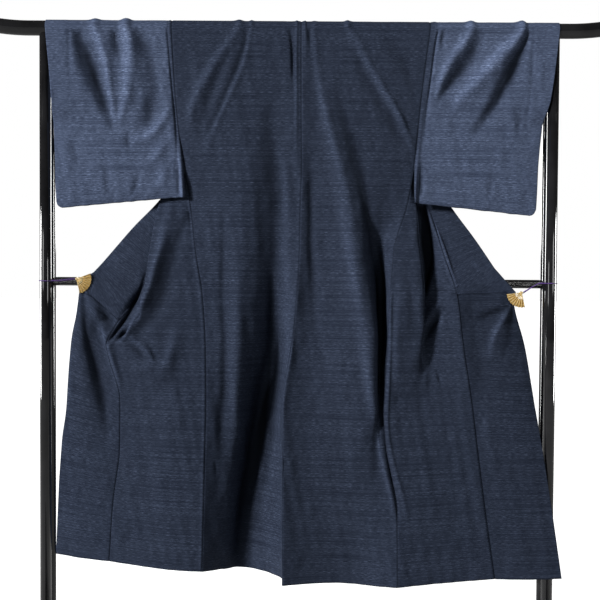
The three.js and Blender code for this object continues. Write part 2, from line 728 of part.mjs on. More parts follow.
add('rack_top_rod', tube(new RodLine(), ROD_RADIUS, 20, 24), BLACK_PAINT);
const fitted = 0.35;
const rodCut = solid(lying('x', ROD_RADIUS + fitted, -ROD_END_X, ROD_END_X).translate(0, 0, ROD_Z));
const postCut = (y) => solid(upright(POST_RADIUS + fitted, 0, ROD_Z).translate(0, y, 0));
const frontCut = postCut(0);
const rearCut = postCut(REAR_POST_Y);
for (const [name, side] of Object.entries(SIDES)) {
  const x = side.sign * POST_X;
  const place = (mesh) => mesh.position.set(x, 0, 0);
  const post = solid(upright(POST_RADIUS, FOOT_HEIGHT + 0.3, ROD_Z)).subtract(rodCut);
  place(add(`rack_front_post_${name}`, geometryOf(post), BLACK_PAINT));
  const rear = upright(POST_RADIUS, FOOT_HEIGHT + 0.3, REAR_POST_TOP).translate(0, REAR_POST_Y, 0);
  place(add(`rack_rear_post_${name}`, rear, BLACK_PAINT));
  place(add(`rack_foot_${name}`, foot(), BLACK_PAINT));
  SPACER_HEIGHTS.forEach((z, i) => {
    const bar = lying('y', SPACER_RADIUS, 0, REAR_POST_Y).translate(0, 0, z);
    const spacer = solid(bar).subtract(frontCut).subtract(rearCut);
    place(add(`rack_spacer_${name}_${i + 1}`, geometryOf(spacer), BLACK_PAINT));
  });
}
const barBetween = solid(lying('x', MID_BAR_RADIUS, -POST_X, POST_X).translate(0, REAR_POST_Y, MID_BAR_Z));
const endCut = (sign) => rearCut.translate([sign * POST_X, 0, 0]);
add('rack_mid_bar', geometryOf(barBetween.subtract(endCut(-1)).subtract(endCut(1))), BLACK_PAINT);

for (const [name, side] of Object.entries(SIDES)) {
  const { x, y, z, from, to, slot, tie } = side.clip;
  add(`fan_clip_${name}`, fanClip({ from, to, slot }), GOLD).position.set(x, y, z);
  const loop = new PostLoop(vec(side.sign * POST_X, 0, tie), vec(x, y + slot / 2, z));
  add(`clip_cord_${name}`, tube(loop, CORD_DIAMETER / 2, 8, 40), ELASTIC);
}

export default part;
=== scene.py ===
import json
import math

import bpy
import numpy as np
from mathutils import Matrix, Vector

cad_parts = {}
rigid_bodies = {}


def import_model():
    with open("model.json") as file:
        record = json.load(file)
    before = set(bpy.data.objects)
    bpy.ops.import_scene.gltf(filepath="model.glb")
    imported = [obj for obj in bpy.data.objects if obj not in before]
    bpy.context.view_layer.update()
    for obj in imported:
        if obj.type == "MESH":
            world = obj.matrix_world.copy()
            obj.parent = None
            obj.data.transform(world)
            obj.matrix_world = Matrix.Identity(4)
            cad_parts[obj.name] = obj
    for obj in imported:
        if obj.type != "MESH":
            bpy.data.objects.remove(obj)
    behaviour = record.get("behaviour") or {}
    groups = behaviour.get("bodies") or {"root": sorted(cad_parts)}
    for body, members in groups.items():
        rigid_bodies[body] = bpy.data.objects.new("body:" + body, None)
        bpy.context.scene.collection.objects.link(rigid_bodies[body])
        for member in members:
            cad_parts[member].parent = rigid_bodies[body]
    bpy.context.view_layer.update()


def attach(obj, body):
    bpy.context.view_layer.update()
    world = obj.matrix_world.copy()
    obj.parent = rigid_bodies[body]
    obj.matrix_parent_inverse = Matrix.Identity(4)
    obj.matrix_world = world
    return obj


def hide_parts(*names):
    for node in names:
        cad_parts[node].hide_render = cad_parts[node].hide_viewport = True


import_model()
MM = 0.001

# ---- camera ----
# It stands level with the middle of the kimono's back, 2.8 m from the rod, and looks slightly down.
camera_data = bpy.data.cameras.new("camera")
camera_data.sensor_width = 36
camera_data.lens = 63.6
camera = bpy.data.objects.new("camera", camera_data)
bpy.context.scene.collection.objects.link(camera)
camera.rotation_mode = "ZYX"
camera.location = (0.0053, -2.8, 1.063)
camera.rotation_euler = (math.radians(90 - 1.86), 0, math.radians(0.36))
bpy.context.scene.camera = camera


# ---- clip cords ----
# A thin elastic cord goes from each fan clip round the post and back. Dark purple, 2 mm thick.
def new_material(name):
    """A material with its Principled shader and the node tree, ready for its textures."""
    made = bpy.data.materials.new(name)
    made.use_nodes = True
    return made, made.node_tree, made.node_tree.nodes["Principled BSDF"]


def node(tree, kind, inputs=(), **settings):
    made = tree.nodes.new(kind)
    for key, value in settings.items():
        setattr(made, key, value)
    for key, value in dict(inputs).items():
        if isinstance(value, bpy.types.NodeSocket):
            tree.links.new(value, made.inputs[key])
        else:
            made.inputs[key].default_value = value
    return made


def mottle(tree, vector, scale, low, high):
    """A noise that runs from one colour to another."""
    noise = node(tree, "ShaderNodeTexNoise", {"Vector": vector, "Scale": scale, "Detail": 3.0})
    ramp = node(tree, "ShaderNodeValToRGB", {"Fac": noise.outputs["Fac"]})
    for stop, (position, colour) in zip(ramp.color_ramp.elements, ((0.35, low), (0.65, high))):
        stop.position = position
        stop.color = (*colour, 1)
    return ramp.outputs["Color"]


def object_place(tree):
    return node(tree, "ShaderNodeTexCoord").outputs["Object"]


elastic, tree, shader = new_material("purple_elastic")
braid = node(tree, "ShaderNodeMapping", {"Vector": object_place(tree), "Scale": (900, 900, 900)})
shade = mottle(tree, braid.outputs["Vector"], 1.0, (0.03, 0.012, 0.075), (0.13, 0.07, 0.26))
tree.links.new(shade, shader.inputs["Base Color"])
shader.inputs["Roughness"].default_value = 0.75

POST_X = 667
POST_RADIUS = 15
CORD_WIDTH = 2
CLIPS = {
    "left": {"sign": -1, "x": -590, "y": 26, "z": 1024, "turn": (-78, 22), "slot": 9, "tie": 1019},
    "right": {"sign": 1, "x": 590, "y": 0.2, "z": 995, "turn": (186, 284), "slot": 9.8, "tie": 1020},
}


def cord_route(clip, steps=90):
    """From the clip's hub round the post and back, in millimetres."""
    post = Vector((clip["sign"] * POST_X, 0, clip["tie"]))
    start = Vector((clip["x"], clip["y"] + clip["slot"] / 2, clip["z"]))
    reach = math.hypot(start.x - post.x, start.y - post.y)
    facing = math.atan2(start.y - post.y, start.x - post.x)
    wrap = POST_RADIUS + CORD_WIDTH / 2 + 0.4
    half = math.acos(wrap / reach)
    straight = math.sqrt(reach**2 - wrap**2) - 6
    sweep = 2 * math.pi - 2 * half
    total = 2 * straight + wrap * sweep
    route = []
    for i in range(steps + 1):
        t = i / steps
        along = t * total
        turn = min(1, max(0, (along - straight) / (wrap * sweep)))
        angle = facing + half + turn * sweep
        left = max(0, straight - along) - max(0, along - straight - wrap * sweep)
        level = min(1, math.sin(math.pi * t) * 1.6)
        z = start.z + (post.z - start.z) * level + 3 * (0.5 - t)
        x = post.x + wrap * math.cos(angle) + left * math.sin(angle)
        y = post.y + wrap * math.sin(angle) - left * math.cos(angle)
        route.append(Vector((x, y, z)) * MM)
    return route, total * MM


for side, clip in CLIPS.items():
    route, length = cord_route(clip)
    curve = bpy.data.curves.new(f"cord_{side}", "CURVE")
    curve.dimensions = "3D"
    curve.bevel_depth = CORD_WIDTH / 2 * MM
    curve.bevel_resolution = 4
    spline = curve.splines.new("POLY")
    spline.points.add(len(route) - 1)
    for point, place in zip(spline.points, route):
        point.co = (*place, 1)
    curve.materials.append(elastic)
    cord = bpy.data.objects.new(f"cord_{side}", curve)
    bpy.context.scene.collection.objects.link(cord)
    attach(cord, "root")
    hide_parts(f"clip_cord_{side}")


# ---- rack ----
# Gloss black steel tube: a 39 mm top rod with up-curved ends, two tubes a side joined by short
# spacers, a 23 mm bar between the rear tubes and flat-bottomed feet.
def mesh_object(name, points, faces, material, smooth=True):
    """A mesh piece at the origin from points in millimetres."""
    mesh = bpy.data.meshes.new(name)
    mesh.from_pydata((np.asarray(points, float) * MM).tolist(), [], faces)
    mesh.update()
    mesh.polygons.foreach_set("use_smooth", [smooth] * len(mesh.polygons))
    mesh.materials.append(material)
    made = bpy.data.objects.new(name, mesh)
    bpy.context.scene.collection.objects.link(made)
    return made


def settle(made, name, material):
    """Names the piece that an operator has just made, applies its place and gives it its material."""
    bpy.ops.object.transform_apply(location=True, rotation=True, scale=True)
    made.name = name
    made.data.materials.clear()
    made.data.materials.append(material)
    return made


def round_off(made, width, segments=3):
    bevel = made.modifiers.new("round", "BEVEL")
    bevel.width = width * MM
    bevel.segments = segments
    bevel.limit_method = "ANGLE"
    bpy.context.view_layer.objects.active = made
    bpy.ops.object.modifier_apply(modifier="round")


def smooth_sides(made):
    """Shades the long sides of a tube round and leaves its flat ends flat."""
    for face in made.data.polygons:
        face.use_smooth = len(face.vertices) == 4


def bar(name, start, end, radius, material, vertices=48, rounding=0.0):
    """A round bar between two points in millimetres."""
    a, b = Vector(start) * MM, Vector(end) * MM
    bpy.ops.object.select_all(action="DESELECT")
    bpy.ops.mesh.primitive_cylinder_add(
        vertices=vertices, radius=radius * MM, depth=(b - a).length, location=(a + b) / 2
    )
    made = bpy.context.object
    made.rotation_mode = "QUATERNION"
    made.rotation_quaternion = (b - a).to_track_quat("Z", "Y")
    settle(made, name, material)
    if rounding:
        round_off(made, rounding)
    smooth_sides(made)
    return made


def belongs(made, slot, *nodes):
    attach(made, "root")
    if nodes:
        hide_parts(*nodes)


paint, tree, shader = new_material("gloss_black_paint")
place = object_place(tree)
tree.links.new(
    mottle(tree, place, 14.0, (0.004, 0.004, 0.0045), (0.009, 0.009, 0.01)), shader.inputs["Base Color"]
)
peel = node(tree, "ShaderNodeTexNoise", {"Vector": place, "Scale": 260.0, "Detail": 2.0})
bump = node(tree, "ShaderNodeBump", {"Height": peel.outputs["Fac"], "Strength": 0.03, "Distance": 0.0004})
tree.links.new(bump.outputs["Normal"], shader.inputs["Normal"])
rub = node(tree, "ShaderNodeTexNoise", {"Vector": place, "Scale": 6.0, "Detail": 4.0})
rough = node(
    tree,
    "ShaderNodeMapRange",
    {"Value": rub.outputs["Fac"], "From Min": 0.3, "From Max": 0.7, "To Min": 0.06, "To Max": 0.13},
)
tree.links.new(rough.outputs["Result"], shader.inputs["Roughness"])
shader.inputs["Coat Weight"].default_value = 0.4
shader.inputs["Coat Roughness"].default_value = 0.06

ROD_RADIUS = 19.5
ROD_Z = 1681
ROD_STRAIGHT_X = 707
ROD_END_X = 837
ROD_END_RISE = 14
REAR_Y = 52
REAR_TOP = 1640
BAR_Z = 1017
BAR_RADIUS = 11.5
FOOT_HEIGHT = 22
FOOT_WIDTH = 36
FOOT_LENGTH = 440
SPACER_HEIGHTS = (1350, 980, 160)
SPACER_RADIUS = 7
ROD_SIDES = 48
ring_x = [-ROD_END_X + i * (ROD_END_X - ROD_STRAIGHT_X) / 12 for i in range(13)]
ring_x += [-ROD_STRAIGHT_X + i * ROD_STRAIGHT_X / 6 for i in range(1, 7)]
ring_x += [-x for x in reversed(ring_x[:-1])]
points = []
for x in ring_x:
    past = max(0, abs(x) - ROD_STRAIGHT_X) / (ROD_END_X - ROD_STRAIGHT_X)
    z = ROD_Z + ROD_END_RISE * past**2
    slope = 2 * ROD_END_RISE * past / (ROD_END_X - ROD_STRAIGHT_X) * (1 if x > 0 else -1)
    lean = math.atan(slope)
    for k in range(ROD_SIDES):
        angle = 2 * math.pi * k / ROD_SIDES
        up = ROD_RADIUS * math.sin(angle)
        points.append((x - up * math.sin(lean), ROD_RADIUS * math.cos(angle), z + up * math.cos(lean)))
faces = []
for i in range(len(ring_x) - 1):
    for k in range(ROD_SIDES):
        a, b = i * ROD_SIDES + k, i * ROD_SIDES + (k + 1) % ROD_SIDES
        faces.append((a, b, b + ROD_SIDES, a + ROD_SIDES))
faces.append(tuple(reversed(range(ROD_SIDES))))
faces.append(tuple(range((len(ring_x) - 1) * ROD_SIDES, len(ring_x) * ROD_SIDES)))
rod = mesh_object("top_rod", points, faces, paint)
smooth_sides(rod)
round_off(rod, 3.5)
belongs(rod, "black_tube", "rack_top_rod")

for side, clip in CLIPS.items():
    x = clip["sign"] * POST_X
    top = ROD_Z - 12
    front = bar(f"front_post_{side}", (x, 0, FOOT_HEIGHT - 1), (x, 0, top), POST_RADIUS, paint)
    rear_foot, rear_top = (x, REAR_Y, FOOT_HEIGHT - 1), (x, REAR_Y, REAR_TOP)
    rear = bar(f"rear_post_{side}", rear_foot, rear_top, POST_RADIUS, paint, rounding=3)
    front.visible_shadow = rear.visible_shadow = False
    belongs(front, "black_tube", f"rack_front_post_{side}")
    belongs(rear, "black_tube", f"rack_rear_post_{side}")
    for i, z in enumerate(SPACER_HEIGHTS):
        start, end = (x, POST_RADIUS - 2, z), (x, REAR_Y - POST_RADIUS + 2, z)
        belongs(
            bar(f"spacer_{side}_{i + 1}", start, end, SPACER_RADIUS, paint, vertices=32),
            "black_tube",
            f"rack_spacer_{side}_{i + 1}",
        )
    bpy.ops.object.select_all(action="DESELECT")
    bpy.ops.mesh.primitive_cube_add(size=1, location=(x * MM, 0, FOOT_HEIGHT / 2 * MM))
    foot = bpy.context.object
    foot.scale = (FOOT_WIDTH * MM, FOOT_LENGTH * MM, FOOT_HEIGHT * MM)
    settle(foot, f"foot_{side}", paint)
    ends = foot.modifiers.new("ends", "BEVEL")
    ends.width = (FOOT_WIDTH / 2 - 0.5) * MM
    ends.segments = 10
    ends.limit_method = "WEIGHT"
    weights = foot.data.attributes.new("bevel_weight_edge", "FLOAT", "EDGE")
    for edge in foot.data.edges:
        a, b = (foot.data.vertices[v].co for v in edge.vertices)
        weights.data[edge.index].value = 1.0 if abs(a.z - b.z) > 0.01 else 0.0
    bpy.context.view_layer.objects.active = foot
    bpy.ops.object.modifier_apply(modifier="ends")
    round_off(foot, 3, 4)
    for face in foot.data.polygons:
        face.use_smooth = face.area < 0.002
    belongs(foot, "black_tube", f"rack_foot_{side}")

half_bar = POST_X - POST_RADIUS + 2
mid_bar = bar("mid_bar", (-half_bar, REAR_Y, BAR_Z), (half_bar, REAR_Y, BAR_Z), BAR_RADIUS, paint)
belongs(mid_bar, "black_tube", "rack_mid_bar")

# ---- body panels ----
# Two lengths of 36 cm wide tsumugi silk, 3 m each, from the back hem over the rod to the front hem,
# sewn down the centre of the back. A shell 1.2 mm thick. The lines below run down the cloth.
HEIGHTS = [1681, 1500, 1325, 1222, 1100, 990, 850, 700, 560, 400, 215]
LINES = {
    "centre": (
        [5, 6, 8, 5, 3, -3, -16, -38, -39, -39, -37],
        [-21, -21, -21, -20, -20, -20, -20, -20, -20, -20, -20],
        215,
    ),
    "leftWall": (
        [-25, -24, -22, -22, -24, -28, -38, -50, -44, -42, -41],
        [-21, -20, -18, -14, -8, -2, 8, 22, 34, 42, 50],
        216,
    ),
    "leftValley": (
        [-80, -68, -66, -66, -66, -68, -76, -104, -120, -132, -136],
        [-21, -18, -10, 0, 14, 30, 52, 80, 98, 110, 120],
        224,
    ),
    "leftRidge": (
        [-165, -150, -142, -148, -150, -152, -155, -157, -172, -190, -200],
        [-21, -22, -22, -20, -14, -8, 2, 28, 48, 64, 82],
        230,
    ),
    "leftHollow": (
        [-245, -230, -218, -208, -202, -198, -198, -198, -210, -220, -230],
        [-21, -19, -15, -8, -2, 3, 9, 24, 34, 46, 56],
        233,
    ),
    "leftSide": (
        [-334, -324, -304, -286, -272, -254, -245, -243, -246, -250, -255],
        [-21, -10, -0.95, 12, 10, 8, 10, 14, 20, 27, 35],
        235,
    ),
    "leftFold": (
        [-252, -250, -292, -370, -394, -410, -424, -330, -330, -336, -340],
        [21, 21, 14, 19, 17, 15, 12, 11, 17, 26, 34],
        240,
    ),
    "leftPocket": (
        [-130, -146, -176, -272, -332, -368, -470, -415, -412, -420, -425],
        [21, 34, 31, 31, 28, 26, 19, 25, 31, 40, 47],
        247,
    ),
    "leftInner": (
        [-90, -183, -272, -320, -382, -420, -508, -476, -478, -497, -510],
        [21, 50, 44, 38, 36, 33, 26, 34, 43, 53, 62],
        255,
    ),
    "leftEdge": (
        [-578, -578, -578, -578, -578, -584, -605, -619, -638, -652, -663],
        [28, 28, 28, 28, 28, 28, 32, 44, 58, 80, 100],
        265,
    ),
    "rightHollow": (
        [60, 45, 40, 37, 37, 37, 36, 30, 30, 40, 50],
        [-21, -18, -14, -13, -12, -8, -9, -7, -6, -2, 6],
        214,
    ),
    "rightRidge": (
        [110, 75, 96, 118, 135, 150, 164, 164, 150, 146, 130],
        [-21, -23, -25, -27, -29, -30, -30, -30, -27, -16, 8],
        214,
    ),
    "rightShoulder": (
        [180, 150, 160, 158, 168, 187, 203, 202, 190, 190, 190],
        [-21, -20, -19, -24, -26, -27, -27, -28, -24, -20, -4],
        213,
    ),
    "rightPocket": (
        [260, 235, 230, 222, 212, 217, 219, 215, 215, 228, 232],
        [-21, -17, -12, -5, 22, 28, 22, 0, -16, -22, -18],
        213,
    ),
    "rightSide": (
        [341, 320, 304, 286, 250, 243, 234, 227, 238, 265, 269],
        [-21, -10, -0.95, -2, -14, -18, -20, -22, -22, -24, -25],
        213,
    ),
    "rightFold": (
        [262, 256, 290, 311, 323, 334, 328, 302, 315, 340, 345],
        [21, 21, 14, 6, -4, -8, -8, -6, -12, -13, -9],
        217,
    ),
    "rightPouch": (
        [140, 152, 190, 236, 286, 314, 322, 372, 395, 420, 430],
        [21, 34, 31, 34, 34, 30, 16, 6, 2, 2, 5],
        221,
    ),
    "rightInner": (
        [100, 196, 290, 347, 385, 421, 440, 464, 482, 504, 532],
        [21, 50, 44, 32, 18, 8, 10, 12, 12, 14, 20],
        225,
    ),
    "rightEdge": (
        [570, 570, 570, 570, 570, 570, 601, 627, 650, 674, 700],
        [6, 6, 6, 6, 6, 4, -4, -9, -17, -25, -30],
        242,
    ),
}
SIDES = {
    "left": {
        "sign": -1,
        "back": ["centre", "leftWall", "leftValley", "leftRidge", "leftHollow", "leftSide"],
        "front": ["leftInner", "leftPocket", "leftFold", "leftSide"],
        "inner": "leftInner",
        "edge": "leftEdge",
        "side": "leftSide",
        "kensaki": 914,
    },
    "right": {
        "sign": 1,
        "back": ["centre", "rightHollow", "rightRidge", "rightShoulder", "rightPocket", "rightSide"],
        "front": ["rightInner", "rightPouch", "rightFold", "rightSide"],
        "inner": "rightInner",
        "edge": "rightEdge",
        "side": "rightSide",
        "kensaki": 990,
    },
}
LOWEST_HEM_Z = 215
STRETCHED_FROM_Z = 700
UNDERARM_Z = 1325
BEND_RADIUS = 21
NECK_HALF_WIDTH = 95
NECKLINE_TOP = 30
CENTRE_X = 5
CLOTH = 1.2
LEVELS = sorted({*range(220, 1681, 10), 1681, 1325, 914, 215}, reverse=True)
ARC = list(range(174, 5, -7))
BODY_COLUMNS = 140


def between(stations, values, at):
    """Value at a height of a smooth curve through falling stations that never overshoots them."""
    last = len(stations) - 1
    if at >= stations[0]:
        return values[0]
    if at <= stations[last]:
        return values[last]
    i = 0
    while stations[i + 1] > at:
        i += 1

    def step(k):
        return (values[k + 1] - values[k]) / (stations[k + 1] - stations[k])

    def slope(k):
        if k in (0, last):
            return step(min(k, last - 1))
        before, after = step(k - 1), step(k)
        return 0 if before * after <= 0 else 2 * before * after / (before + after)

    span = stations[i + 1] - stations[i]
    t = (at - stations[i]) / span
    bend = t * (1 - t) * span * ((1 - t) * slope(i) - t * slope(i + 1))
    return values[i] + (values[i + 1] - values[i]) * t * t * (3 - 2 * t) + bend


def line_point(name, z):
    """Point of a named line at height z; low down the line is stretched to its own hem height."""
    xs, ys, hem = LINES[name]
    height = z
    if z < STRETCHED_FROM_Z:
        share = (STRETCHED_FROM_Z - z) / (STRETCHED_FROM_Z - LOWEST_HEM_Z)
        height = STRETCHED_FROM_Z + (hem - STRETCHED_FROM_Z) * share
    return np.array([between(HEIGHTS, xs, z), between(HEIGHTS, ys, z), height])


def spline_through(points, ts):
    """Points at shares ts of a centripetal spline, with an equal share for each span."""
    p = np.vstack([2 * points[0] - points[1], points, 2 * points[-1] - points[-2]])
    spans = len(points) - 1
    found = []
    for t in ts:
        i = min(int(t * spans), spans - 1)
        w = t * spans - i
        p0, p1, p2, p3 = p[i : i + 4]
        dt = [max(1e-4, np.linalg.norm(b - a) ** 0.5) for a, b in ((p0, p1), (p1, p2), (p2, p3))]
        t1 = ((p1 - p0) / dt[0] - (p2 - p0) / (dt[0] + dt[1]) + (p2 - p1) / dt[1]) * dt[1]
        t2 = ((p2 - p1) / dt[1] - (p3 - p1) / (dt[1] + dt[2]) + (p3 - p2) / dt[2]) * dt[1]
        a = 2 * p1 - 2 * p2 + t1 + t2
        b = -3 * p1 + 3 * p2 - 2 * t1 - t2
        found.append(((a * w + b) * w + t1) * w + p1)
    return found


def gathered(count, crowd=0.6):
    """Shares 0 to 1 that lie closer together at both ends."""
    t = np.arange(count + 1) / count
    return t - crowd * np.sin(2 * math.pi * t) / (2 * math.pi)


def section(names, z, ts):
    points = np.array([line_point(name, z) for name in names])
    if points[0][1] > points[-1][1] and z >= UNDERARM_Z:
        points[-1][1] *= -1
    return spline_through(points, ts)


def over_rod(inner, outer, degrees, ts):
    angle = math.radians(degrees)
    y = BEND_RADIUS * math.cos(angle)
    z = ROD_Z + BEND_RADIUS * math.sin(angle)
    return [np.array([inner + (outer - inner) * t, y, z]) for t in ts]


def neck_edge(side, degrees):
    opened = min(1, max(0, (NECKLINE_TOP - degrees) / NECKLINE_TOP))
    return CENTRE_X + side["sign"] * NECK_HALF_WIDTH * opened**2


def normals_of(grid, ring=False):
    """Unit normals of a grid of points; ring joins its last row to its first."""
    across = np.gradient(grid, axis=1)
    if ring:
        along = (np.roll(grid, -1, axis=0) - np.roll(grid, 1, axis=0)) / 2
    else:
        along = np.gradient(grid, axis=0)
    n = np.cross(across, along)
    return n / np.maximum(1e-9, np.linalg.norm(n, axis=2, keepdims=True))


